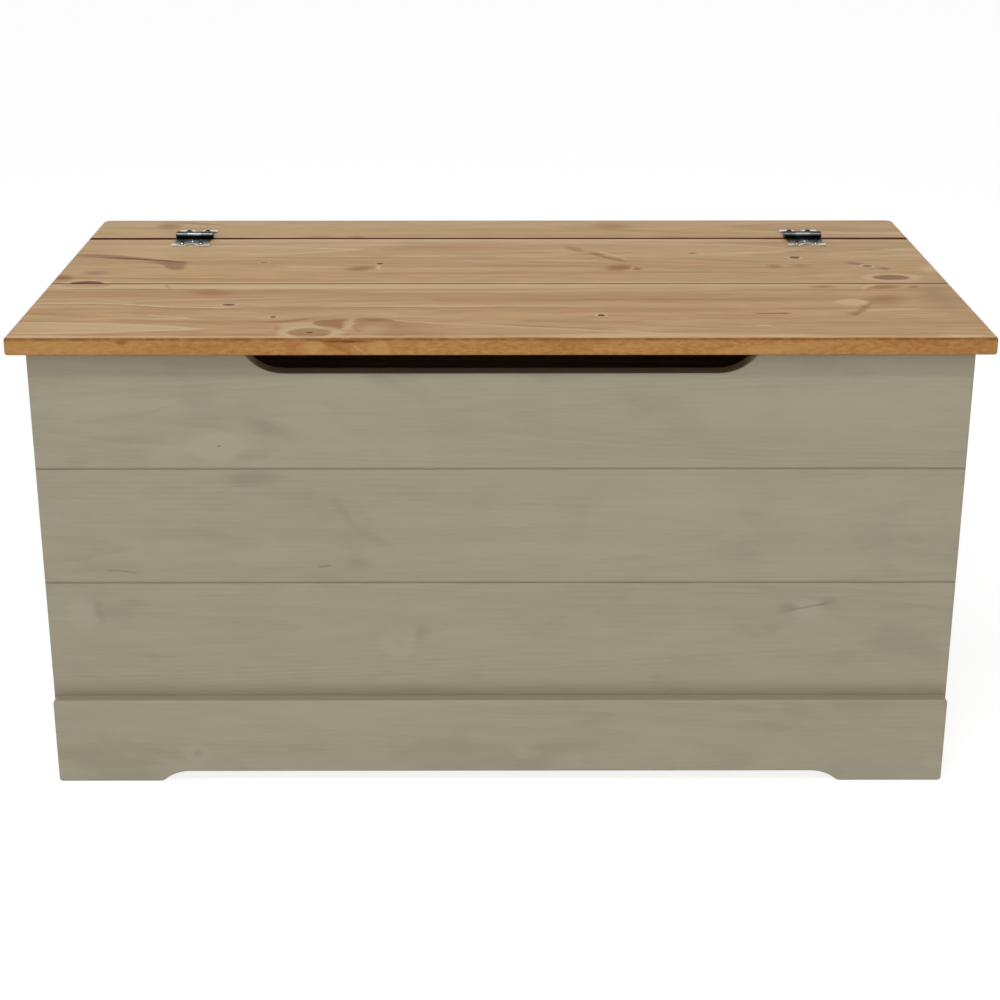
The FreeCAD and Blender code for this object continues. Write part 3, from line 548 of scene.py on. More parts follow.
class Grain:
    """The grain of one board, laid out on a bench.

    Attributes:
        WANDER: How often the grain wanders, along and across the board, per metre.
        RAGGED: How often a mark's outline wavers, along and across the board, per metre.
        SWAY: How far the wander and the ragged outline move a mark along the board, in mm.
        SWING: How far they move it across the board, in mm.
        late: Darkness of the growth rings, once the wood is laid out.
        fibres: The fine fibres, once the wood is laid out.
    """

    WANDER: Point = (2.6, 14.0)
    RAGGED: Point = (55.0, 170.0)
    SWAY: Point = (10.0, 9.0)
    SWING: Point = (4.0, 4.0)

    def __init__(self, bench: Bench, cut: Cut, tones: Tones, show: Strengths, marks: Sequence[Mark]) -> None:
        """Lay out the places that all parts of the grain share.

        Args:
            bench: The bench.
            cut: How the board was sawn.
            tones: Its colours.
            show: How strongly its parts show.
            marks: Its knots and other marks.
        """
        self.bench = bench
        self.cut = cut
        self.tones = tones
        self.show = show
        self.marks = marks
        parts = bench.split(bench.place())
        self.along, self.across, self.deep = parts[cut.along], parts[cut.across], parts[cut.deep]
        faces = bench.split(bench.facing())
        self.end_on = abs(faces[cut.along])
        self.face_on = abs(faces[cut.deep])
        self.outward = faces[cut.deep] * float(cut.out)
        start = self.along * self.WANDER[0] + cut.seed
        shifted = bench.join(start, self.across * self.WANDER[1], self.deep * self.WANDER[1])
        waves = bench.split(bench.noise(shifted, 1.0, 2.0, out=1))
        self.wavy = self.across + (waves[1] - 0.5) * (2 * show.waves)
        ragged = bench.join(self.along * self.RAGGED[0] + cut.seed, self.across * self.RAGGED[1], 0.0)
        rags = bench.split(bench.noise(ragged, 1.0, 3.0, out=1))
        along, across = self.along / MM, self.across / MM
        self.near_along = along + (waves[0] - 0.5) * self.SWAY[0] + (rags[0] - 0.5) * self.SWAY[1]
        self.near_across = across + (waves[2] - 0.5) * self.SWING[0] + (rags[1] - 0.5) * self.SWING[1]
        self.flat = bench.join(self.near_along, self.near_across, 0.0)
        self.knots: List[Tuple[Knot, Signal]] = []
        for mark in marks:
            if isinstance(mark, Knot):
                self.push_aside(mark)

    def push_aside(self, knot: Knot) -> None:
        """Let the grain flow round a knot.

        Args:
            knot: The knot.
        """
        bench = self.bench
        local = bench.from_mark(self.flat, knot.at, knot.turn, (knot.size * knot.stretch, knot.size))
        reach = bench.length(local)
        self.knots.append((knot, reach))
        aside = bench.split(local)[1] * (knot.size * knot.push * MM)
        self.wavy = self.wavy - aside / (bench.maths("MAXIMUM", reach, 1.0) ** 2.3)

    def rings(self) -> Tuple[Signal, Signal]:
        """The growth rings.

        Returns:
            The darkness of the rings, and how strongly each group of them shows.
        """
        bench, cut = self.bench, self.cut
        side = self.wavy - self.along * cut.drift[0] - cut.heart[0]
        depth = self.deep - self.along * cut.drift[1] - cut.heart[1]
        radius = bench.maths("SQRT", side * side + depth * depth)
        slow = bench.noise(bench.join(radius * 45.0, cut.seed, self.along * 0.7), 1.0, 1.0)
        turns = radius / cut.ring + slow * 3.0
        share = bench.maths("FRACT", turns)
        late = bench.ease(share, 0.15, 0.85) * bench.ease(share, 1.0, 0.9)
        years = bench.noise(bench.join(turns * 0.31, cut.seed + 7.0, self.along * 1.3), 1.0, 1.0)
        return late, bench.ease(years, 0.38, 0.68)

    def streaks(self, stretch: float, fine: float, detail: float = 2.0, shift: float = 0.0) -> Signal:
        """Random streaks along the grain.

        Args:
            stretch: How often they change along the board, per metre.
            fine: How often they change across it, per metre.
            detail: Detail of the cloud.
            shift: Another place in the cloud.

        Returns:
            The streaks, 0 to 1.
        """
        shifted = self.along * stretch + self.cut.seed + shift
        vector = self.bench.join(shifted, self.wavy * fine, self.deep * fine)
        return self.bench.noise(vector, 1.0, detail, 0.6)

    def wood(self) -> Signal:
        """The board with no marks on it.

        Returns:
            Its colour.
        """
        bench, tones, show = self.bench, self.tones, self.show
        self.late, years = self.rings()
        self.fibres = self.streaks(14.0, 1100.0, 2.0)
        warm = self.streaks(1.5, 62.0, 2.0, 3.0)
        fade = self.streaks(1.1, 26.0, 2.0, 31.0)
        colour = bench.mix(self.late * (years * 0.8 + 0.2) * show.rings, tones.early, tones.late)
        colour = bench.mix(bench.ease(warm, 0.46, 0.72, 0.0, show.warm), colour, tones.warm)
        colour = bench.mix(bench.ease(fade, 0.52, 0.72, 0.0, show.fade), colour, tones.fade)
        fine = self.streaks(20.0, show.pores, 3.0, 17.0)
        light = bench.ease(self.fibres * 0.3 + fine * 0.7, 0.3, 0.7, 1.0 - show.fibre, 1.0 + show.fibre)
        return bench.scaled(colour, light)

    def marked_wood(self) -> Signal:
        """The board's colour with its marks."""
        return self.add_marks(self.wood())

    def add_marks(self, colour: Signal) -> Signal:
        """Lay all marks on the board, the knots last.

        Args:
            colour: The colour so far.

        Returns:
            The colour with the marks.
        """
        adders = {
            Patch: self.add_patch,
            Streak: self.add_streak,
            RingLine: self.add_line,
            Field: self.add_field,
        }
        for mark in self.marks:
            if type(mark) in adders:
                colour = adders[type(mark)](colour, mark)
        for knot, reach in self.knots:
            colour = self.add_knot(colour, knot, reach)
        return colour

    def add_patch(self, colour: Signal, patch: Patch) -> Signal:
        """Lay a soft patch on the colour.

        Args:
            colour: The colour so far.
            patch: The patch.

        Returns:
            The colour with it.
        """
        bench = self.bench
        reach = bench.length(bench.from_mark(self.flat, patch.at, patch.turn, patch.size))
        shown = patch.strength * self.show.marks
        share = bench.ease(reach, 1.0 + patch.edge / 2, 1.0 - patch.edge, 0.0, shown)
        return bench.mix(share, colour, patch.tone.value)

    def course(self, points: Sequence[Point]) -> Tuple[Signal, Signal]:
        """A drawn course along the board.

        Args:
            points: Places along it.

        Returns:
            How far across the board the surface lies from it, in millimetres, and the
            share of its length at which it lies.
        """
        bench = self.bench
        runs = [point[0] for point in points]
        sides = [point[1] for point in points]
        low, span = min(sides) - 2, max(sides) - min(sides) + 4
        length = runs[-1] - runs[0]
        share = (self.near_along - runs[0]) / length
        drawn = [((run - runs[0]) / length, (side - low) / span) for run, side in points]
        return self.near_across - (bench.curve(share, drawn) * span + low), share

    def between_ends(self, share: Signal, fade: float) -> Signal:
        """1 along a course, fading to 0 at both its ends."""
        return self.bench.ease(share, 0.0, fade) * self.bench.ease(share, 1.0, 1.0 - fade)

    def add_field(self, colour: Signal, field: Field) -> Signal:
        """Lay a bounded area on the colour.

        Args:
            colour: The colour so far.
            field: The area.

        Returns:
            The colour with it.
        """
        bench = self.bench
        above, share = self.course(field.upper)
        below, _ = self.course(field.lower)
        inside = bench.ease(above, field.edge, -field.edge) * bench.ease(below, -field.edge, field.edge)
        start, end = field.fade
        shown = bench.ease(share, -start / 2, start) * bench.ease(share, 1.0 + end / 2, 1.0 - end)
        return bench.mix(inside * shown * (field.strength * self.show.marks), colour, field.tone.value)

    def add_streak(self, colour: Signal, streak: Streak) -> Signal:
        """Lay a streak on the colour.

        Args:
            colour: The colour so far.
            streak: The streak.

        Returns:
            The colour with it.
        """
        bench = self.bench
        aside, share = self.course(streak.points)
        strength = streak.strength * self.show.marks
        core = bench.ease(abs(aside), streak.half * 1.3, streak.half * 0.2, 0.0, strength)
        return bench.mix(core * self.between_ends(share, streak.fade), colour, streak.tone.value)

    def add_line(self, colour: Signal, line: RingLine) -> Signal:
        """Lay a ring's line on the colour.

        Args:
            colour: The colour so far.
            line: The line.

        Returns:
            The colour with it.
        """
        bench = self.bench
        aside, share = self.course(line.points)
        shown = self.between_ends(share, line.fade)
        pale = bench.ease(aside, line.rim, 0.0, 0.0, line.pale * self.show.marks)
        pale = pale * bench.ease(aside, -0.7, 0.7) * shown
        dark = bench.ease(aside, -line.shade, 0.0, 0.0, line.dark * self.show.marks)
        dark = dark * bench.ease(aside, 0.7, -0.7) * shown
        colour = bench.mix(pale, colour, Tone.CREAM.value)
        return bench.mix(dark, colour, Tone.BROWN.value)

    def add_knot(self, colour: Signal, knot: Knot, reach: Signal) -> Signal:
        """Lay a knot on the colour.

        Args:
            colour: The colour so far.
            knot: The knot.
            reach: Distance from its middle, in its own sizes.

        Returns:
            The colour with it.
        """
        bench, tones = self.bench, self.tones
        shown = self.show.marks
        halo = bench.ease(reach, 2.0, 1.25) * bench.ease(reach, 0.95, 1.15, 0.0, knot.halo * shown)
        colour = bench.mix(halo, colour, tones.fade)
        rings = bench.maths("SINE", reach * (5.0 + knot.size * 0.8)) * 0.5 + 0.5
        heart = bench.mix(rings * 0.4, knot.heart.value, tones.rim)
        colour = bench.mix(bench.ease(reach, 1.08, 0.8, 0.0, knot.strength * shown), colour, heart)
        rim = bench.ease(reach, 0.8, 0.98, 0.0, knot.rim * knot.strength * shown)
        return bench.mix(rim * bench.ease(reach, 1.22, 1.02), colour, tones.rim)


# The finishes


LID_TONES = Tones(
    early=linear(201, 165, 120),
    late=linear(176, 131, 84),
    warm=linear(181, 133, 87),
    fade=linear(213, 186, 143),
    rim=linear(106, 54, 24),
    end=linear(140, 98, 58),
)
WASH_TONES = Tones(
    early=linear(155, 149, 128),
    late=linear(144, 137, 115),
    warm=linear(150, 141, 121),
    fade=linear(160, 154, 134),
    rim=linear(120, 110, 92),
    end=linear(146, 137, 116),
)
RAW_TONES = Tones(
    early=linear(222, 192, 146),
    late=linear(196, 154, 102),
    warm=linear(208, 168, 116),
    fade=linear(232, 206, 164),
    rim=linear(112, 68, 40),
    end=linear(204, 168, 120),
)

LID_SHOW = Strengths(rings=0.48, warm=0.65, fade=0.6, fibre=0.13, marks=1.15, waves=0.0045, pores=190.0)
WASH_SHOW = Strengths(rings=0.4, warm=0.4, fade=0.4, fibre=0.045, waves=0.006)
RAW_SHOW = Strengths(rings=0.75, warm=0.6, fade=0.5, fibre=0.08, marks=0.9)

OLD_STAIN = linear(84, 34, 8)
EDGE_LOW = linear(156, 106, 54)
EDGE_HIGH = linear(179, 134, 79)
EDGE_PALE = linear(182, 142, 88)
EDGE_DARK = linear(144, 92, 46)
ARRIS = linear(130, 81, 42)
THIN_WASH = linear(161, 154, 132)
# Brown of the painted shade under the lid and just above the plinth ledge.
PAINTED_SHADE_BROWN = linear(112, 94, 70)
UNWASHED_EARLY = linear(164, 128, 86)
UNWASHED_LATE = linear(138, 100, 62)
# Edge of the finger cut-out: a brown stain, made darker to paint in part of the shade under the lid.
CUT_LEDGE = linear(112, 94, 78)
PLINTH_LEDGE = linear(155, 147, 128)
DULL_METAL = linear(168, 170, 164)
ZINC_DARK = linear(176, 176, 170)
ZINC_BRIGHT = linear(206, 204, 192)


@dataclass(frozen=True)
class Joint:
    """A joint along a board, darkened by old stain.

    Attributes:
        place: Where it lies across the board.
        way: 1 where the board lies beyond it, -1 where it lies before it.
        middle: Width of the stain at the middle of the trunk, in mm.
        ends: Width of the stain at its ends, in mm.
        strength: How dark it is.
    """

    place: float
    way: int
    middle: float
    ends: float
    strength: float = 0.9


@dataclass(frozen=True)
class WaxedPine:
    """Brown wax on knotty pine, darker and more orange on its edges.

    Attributes:
        name: The finish's name.
        cut: How the board was sawn.
        marks: Its knots and other marks.
        joints: Its joints with other boards.
        figure: Marks on its narrow edge, along and up it.
    """

    name: str
    cut: Cut
    marks: Tuple[Mark, ...] = ()
    joints: Tuple[Joint, ...] = ()
    figure: Tuple[Mark, ...] = ()

    def make(self) -> bpy.types.Material:
        """Lay out the finish.

        Returns:
            The finished material.
        """
        bench = Bench(self.name)
        grain = Grain(bench, self.cut, LID_TONES, LID_SHOW, self.marks)
        colour = grain.marked_wood()
        colour = bench.mix(bench.ease(grain.face_on, 0.93, 0.78), colour, self.edge(grain))
        colour = bench.mix(bench.ease(grain.end_on, 0.5, 0.9, 0.0, 0.75), colour, LID_TONES.end)
        for joint in self.joints:
            colour = self.stained(grain, colour, joint)
        roughness = bench.ease(grain.fibres, 0.3, 0.7, 0.5, 0.6)
        normal = bench.bump(grain.fibres + grain.late * 0.5, 0.1 * MM, 0.5)
        return bench.surface(colour, roughness, normal, Specular_IOR_Level=0.09)

    def edge(self, grain: Grain) -> Signal:
        """The narrow edges, where more stain stays.

        Args:
            grain: The board's grain.

        Returns:
            Their colour.
        """
        bench = grain.bench
        fine = bench.join(grain.along * 130.0, grain.across * 300.0, grain.deep * 330.0)
        rough = bench.noise(fine, 1.0, 4.0, 0.65)
        colour = bench.mix(bench.ease(rough, 0.3, 0.7), EDGE_LOW, EDGE_HIGH)
        slow = bench.join(grain.along * 14.0, grain.across * 90.0, grain.deep * 120.0)
        long = bench.noise(slow, 1.0, 3.0, 0.6)
        colour = bench.mix(bench.ease(long, 0.5, 0.7, 0.0, 0.4), colour, EDGE_PALE)
        colour = bench.mix(bench.ease(long, 0.48, 0.3, 0.0, 0.35), colour, EDGE_DARK)
        lying = replace(self.cut, across=self.cut.deep, deep=self.cut.across)
        colour = Grain(bench, lying, LID_TONES, Strengths(), self.figure).add_marks(colour)
        ragged = bench.noise(bench.join(grain.along * 60.0, 0.0, 5.0), 1.0, 3.0, 0.6)
        arris = bench.ease(grain.deep, self.cut.face - 3.6 * MM, self.cut.face - 1.8 * MM)
        return bench.mix(arris * bench.ease(ragged, 0.35, 0.6, 0.45, 1.0), colour, ARRIS)

    def stained(self, grain: Grain, colour: Signal, joint: Joint) -> Signal:
        """Let old stain darken a joint, more so towards the ends, down to a few mm below the face.

        Args:
            grain: The board's grain.
            colour: The colour so far.
            joint: The joint.

        Returns:
            The colour with the stain.
        """
        bench = grain.bench
        inside = (grain.across - joint.place) * float(joint.way)
        broken = bench.noise(bench.join(grain.along * 22.0, 0.0, self.cut.seed), 1.0, 2.0)
        ends = bench.ease(abs(grain.along), 0.20, 0.42, joint.middle, joint.ends)
        width = ends * (broken * 0.8 + 0.6) * MM
        on_face = bench.ease(inside / width, 1.3, 0.7)
        low = bench.ease(grain.deep, self.cut.face - 0.2 * MM, self.cut.face - 0.7 * MM)
        near = bench.maths("MAXIMUM", on_face, low * bench.ease(inside, 2.2 * MM, 1.2 * MM))
        shallow = bench.ease(grain.deep, self.cut.face - 7.0 * MM, self.cut.face - 3.0 * MM)
        return bench.mix(near * shallow * joint.strength, colour, OLD_STAIN)


@dataclass(frozen=True)
class WashedPine:
    """A thin grey-green wash that lets the grain show, on the outside only.

    Attributes:
        name: The finish's name.
        cut: How the board was sawn.
        marks: Its knots and other marks.
        painted_shade_bands: Bands of painted shade that brown the face: the level where it is
        strongest, the level where it ends, and its strength.
        ledge: Colour of its edges behind the face.
    """

    name: str
    cut: Cut
    marks: Tuple[Mark, ...] = ()
    painted_shade_bands: Tuple[Band, ...] = ()
    ledge: Colour = linear(126, 116, 98)

    def make(self) -> bpy.types.Material:
        """Lay out the finish.

        Returns:
            The finished material.
        """
        bench = Bench(self.name)
        grain = Grain(bench, self.cut, WASH_TONES, WASH_SHOW, self.marks)
        colour = grain.marked_wood()
        drawn = bench.join(grain.along * 9.0 + self.cut.seed, grain.across * 18.0, grain.deep * 9.0)
        cloud = bench.noise(drawn, 1.0, 4.0, 0.6)
        colour = bench.mix(bench.ease(cloud, 0.5, 0.7, 0.0, 0.42), colour, Tone.ASH.value)
        colour = bench.mix(bench.ease(cloud, 0.48, 0.3, 0.0, 0.5), colour, THIN_WASH)
        level = bench.split(bench.place())[Z]
        # Painted shade: each band browns the face, most at its first level and gone by its second.
        for start, end, strength in self.painted_shade_bands:
            brown = bench.ease(level, end, start, 0.0, strength) * grain.face_on
            colour = bench.mix(brown, colour, PAINTED_SHADE_BROWN)
        colour = bench.mix(bench.ease(grain.end_on, 0.5, 0.9, 0.0, 0.5), colour, WASH_TONES.end)
        depth = (self.cut.face - grain.deep) * float(self.cut.out)
        ragged = bench.noise(bench.place(), 260.0, 2.0) * (1.2 * MM)
        behind = bench.ease(depth + ragged, 1.4 * MM, 2.4 * MM)
        behind = behind * bench.ease(grain.face_on + grain.end_on, 0.8, 0.5)
        colour = bench.mix(behind, colour, self.ledge)
        wood = bench.mix(grain.late * 0.6, UNWASHED_EARLY, UNWASHED_LATE)
        wood = bench.scaled(wood, bench.ease(grain.fibres, 0.3, 0.7, 0.9, 1.05))
        colour = bench.mix(bench.ease(grain.outward, -0.3, -0.7), colour, wood)
        normal = bench.bump(grain.fibres + grain.late * 0.4, 0.08 * MM, 0.5)
        return bench.surface(colour, 0.62, normal, Specular_IOR_Level=0.3)


@dataclass(frozen=True)
class RawPine:
    """Plain sawn and planed pine.

    Attributes:
        name: The finish's name.
        cut: How the board was sawn.
        marks: Its knots and other marks.
    """

    name: str
    cut: Cut
    marks: Tuple[Mark, ...] = ()

    def make(self) -> bpy.types.Material:
        """Lay out the finish.

        Returns:
            The finished material.
        """
        bench = Bench(self.name)
        grain = Grain(bench, self.cut, RAW_TONES, RAW_SHOW, self.marks)
        colour = grain.marked_wood()
        colour = bench.mix(bench.ease(grain.end_on, 0.5, 0.9, 0.0, 0.5), colour, RAW_TONES.end)
        normal = bench.bump(grain.fibres + grain.late * 0.5, 0.15 * MM, 0.6)
        return bench.surface(colour, 0.68, normal, Specular_IOR_Level=0.35)


class Worn(Enum):
    """Where a piece of the hinge is worn bright."""

    LEAF = "its end and round its notch"
    SCREW = "the rim of its head"
    NOWHERE = "nowhere"


@dataclass(frozen=True)
class AntiqueMetal:
    """Dark antique plate, worn bright where hands and cloths reach it.

    Attributes:
        name: The finish's name.
        worn: Where it is worn.
        dark: Colour of the dark plate.
        bright: Colour where it is worn.
        ridge: Colour along the barrel's front.
        axis: Place of the pin's axis, across and up.
        middle: Distance of each hinge's middle from the trunk's middle.
        rim: Level below which a screw's head is bright.
        notch: Half width and depth of the worn ring round a leaf's end notch.
        notch_at: Distance of that ring's middle from the pin's axis.
        tip: Distances from the axis between which a leaf's end brightens.
        flank: Distances from the hinge's middle between which its sides brighten.
        plate: Distances from the axis between which the plate pales.
    """

    name: str
    worn: Worn
    dark: Colour = linear(46, 48, 47)
    bright: Colour = linear(222, 226, 221)
    ridge: Colour = linear(112, 114, 112)
    axis: Point = (0.1415, 0.4743)
    middle: float = 0.342
    rim: float = 0.4725
    notch: Point = (0.0088, 0.0098)
    notch_at: float = 0.035
    tip: Point = (0.0272, 0.0288)
    flank: Point = (0.0188, 0.0196)
    plate: Point = (0.006, 0.018)

    def make(self) -> bpy.types.Material:
        """Lay out the finish.

        Returns:
            The finished material.
        """
        bench = Bench(self.name)
        place = bench.place()
        shown = self.bare(bench, place)
        cloud = bench.noise(place, 200.0, 2.0, 0.5)
        dull = bench.mix(bench.ease(cloud, 0.4, 0.65, 0.0, 0.3), self.bright, DULL_METAL)
        _, y, z = bench.split(place)
        front = bench.ease(y, self.axis[0] - 0.6 * MM, self.axis[0] - 1.6 * MM)
        ridge = bench.ease(z, self.axis[1], self.axis[1] + 0.8 * MM) * front
        colour = bench.mix(shown, bench.mix(ridge, self.dark, self.ridge), dull)
        fine = bench.noise(place, 900.0, 2.0, 0.5)
        normal = bench.bump(fine, 0.02 * MM, 0.25)
        return bench.surface(colour, bench.ease(shown, 0.0, 1.0, 0.42, 0.32), normal, Metallic=1.0)

    def bare(self, bench: Bench, place: Signal) -> Signal:
        """How bright the plate is worn.

        Args:
            bench: The bench.
            place: The place on the piece.

        Returns:
            Its brightness, 0 to 1.
        """
        x, y, z = bench.split(place)
        if self.worn is Worn.SCREW:
            return bench.ease(z, self.rim + 0.5 * MM, self.rim)
        if self.worn is Worn.NOWHERE:
            return x * 0.0
        reach = abs(y - self.axis[0])
        aside = abs(abs(x) - self.middle)
        sunk = (aside / self.notch[0]) ** 2.0 + ((self.notch_at - reach) / self.notch[1]) ** 2.0
        ring = bench.ease(bench.maths("SQRT", sunk), 1.08, 0.94)
        border = bench.maths("MAXIMUM", bench.ease(reach, *self.tip), ring)
        flank = bench.ease(aside, *self.flank) * bench.ease(reach, 0.006, 0.009, 0.0, 0.7)
        plate = bench.maths("MAXIMUM", flank, bench.ease(reach, *self.plate, 0.0, 0.34))
        return bench.maths("MAXIMUM", border * bench.ease(reach, 0.012, 0.016), plate)


@dataclass(frozen=True)
class ZincPlate:
    """Zinc plate on the inner screws."""

    name: str = "zinc_plate"

    def make(self) -> bpy.types.Material:
        """Lay out the finish.

        Returns:
            The finished material.
        """
        bench = Bench(self.name)
        cloud = bench.noise(bench.place(), 600.0, 3.0, 0.6)
        colour = bench.mix(cloud, ZINC_DARK, ZINC_BRIGHT)
        return bench.surface(colour, bench.ease(cloud, 0.3, 0.7, 0.28, 0.42), None, Metallic=1.0)


def dress(node: str, material: bpy.types.Material) -> None:
    """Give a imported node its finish.

    Args:
        node: The node's name.
        material: The finish.
    """
    mesh = frame["nodes"][node].data
    if not mesh.materials:
        mesh.materials.append(material)
    for place in range(len(mesh.materials)):
        mesh.materials[place] = material
    log.info("%s: %s", node, material.name)


# The marks of each board, in millimetres along and across it


REAR_PLANK_MARKS: Tuple[Mark, ...] = (
    Patch((0, 132), (620, 8), Tone.CREAM, 0.55, 0.0, 0.9),
    Patch((-400, 95), (60, 30), Tone.PALE, 0.35),
    Patch((-70, 102), (70, 13), Tone.BROWN, 0.35),
    Patch((90, 105), (130, 12), Tone.BROWN, 0.35),
    *tongue(
        (-152.6, 94), ((-400, 108), (-322, 108), (-255, 106), (-200, 100)),
        ((-300, 73), (-240, 74), (-195, 83)),
    ),
    *tongue(
        (332, 93), ((0, 121), (162, 120), (240, 116), (290, 106)),
        ((190, 76), (262, 76), (305, 83)), 0.5,
    ),
    Patch((-385, 66), (40, 7), Tone.PALE, 0.55, -16.0),
    Field(
        ((-463, 73), (-440, 73), (-415, 68), (-385, 57), (-345, 44)),
        ((-463, 66), (-440, 60), (-415, 53), (-385, 49), (-345, 40)), Tone.PURPLE, 0.5, 3.0, (0.15, 0.1),
    ),
    Streak(((-430, 60), (-400, 55), (-370, 48), (-340, 41), (-325, 40)), 3.6, Tone.BLACK, 0.62, 0.2),
    Field(
        ((-378, 43), (-360, 43), (-345, 42), (-333, 38)), ((-378, 38), (-360, 30), (-345, 10), (-333, 8)),
        Tone.PURPLE, 0.5, 4.0, (0.4, 0.15),
    ),
    Streak(((-240, 23), (-200, 22), (-155, 20)), 3.0, Tone.CREAM, 0.5, 0.3),
    Patch((-146, 15), (17, 10), Tone.DARK, 0.6, 20.0, 0.9),
    Patch((-128, 18), (2.5, 14), Tone.CREAM, 0.6),
    Patch((-424, -3), (16, 9), Tone.GREY, 0.6),
    Patch((-454, -22), (14, 11), Tone.PURPLE, 0.6, -30.0),
    Patch((-250, 42), (200, 9), Tone.RED, 0.18),
    Patch((-200, 58), (160, 4), Tone.BROWN, 0.25),
    Patch((-40, 55), (180, 5), Tone.BROWN, 0.25),
    Streak(((-450, -41), (-200, -40), (100, -40), (470, -41)), 3.5, Tone.CREAM, 0.4, 0.05),
    Patch((84, 94), (16, 7), Tone.BROWN, 0.6, -50.0),
    Streak(((96, 82), (110, 70), (124, 54), (138, 42)), 8.5, Tone.DARK, 0.52, 0.25),
    Streak(((108, 84), (122, 74), (136, 56), (142, 46)), 3.0, Tone.CREAM, 0.6, 0.15),
    Patch((127, 17), (17, 13), Tone.DARK, 0.6, 25.0, 0.7),
    Patch((144, 12), (5, 8), Tone.DARK, 0.65, 35.0),
    Streak(((137, 10), (141, 18), (143, 27)), 5.0, Tone.CREAM, 0.5, 0.2),
    Patch((40, 26), (110, 6), Tone.BROWN, 0.4),
    Patch((291, 22), (9, 8), Tone.GREY, 0.75, 40.0, 1.0),
    Patch((319, 25), (9, 7), Tone.GREY, 0.6, 0.0, 1.0),
    Patch((391, 22), (19, 22), Tone.PALE, 0.5, 0.0, 0.5),
    Patch((390, 22), (13, 16), Tone.GREY, 0.35, 0.0, 0.4),
    Patch((378, 34), (10, 6), Tone.PURPLE, 0.5, -20.0),
    Patch((405, 14), (6, 7), Tone.PURPLE, 0.55, 20.0),
    Patch((440, 92), (22, 5), Tone.CREAM, 0.6, 3.0),
    Patch((452, 10), (9, 16), Tone.CREAM, 0.5),
    Patch((345, -12), (30, 8), Tone.PALE, 0.5, 8.0),
    Patch((300, 60), (170, 10), Tone.BROWN, 0.2),
    Knot((-423, -44), 8.5, 1.85, 0.78, heart=Tone.BLACK, halo=0.6, rim=0.9),
    # Painted highlight along the rounded edge in front of the gap to the rail.
    Streak(((-470, 137.6), (-200, 137.4), (200, 137.6), (470, 137.4)), 2.2, Tone.CREAM, 0.45, 0.01),
    Knot((-127.6, 34), 3.2, 1.0, 0.85, heart=Tone.BLACK),
    Knot((-253, 38), 3, 1.3, 0.5, heart=Tone.RED),
    Knot((212.6, 76), 2.6, 1.5, 0.6, heart=Tone.DARK),
    Knot((320, 58), 4.6, 1.2, 0.85, heart=Tone.DARK, halo=0.8),
    Knot((389, 23), 4.4, 1.2, 0.55, heart=Tone.PURPLE, halo=0.9, rim=0.3),
    Knot((406, -22), 10, 1.85, 0.58, heart=Tone.PURPLE, halo=0.7, rim=0.3),
)

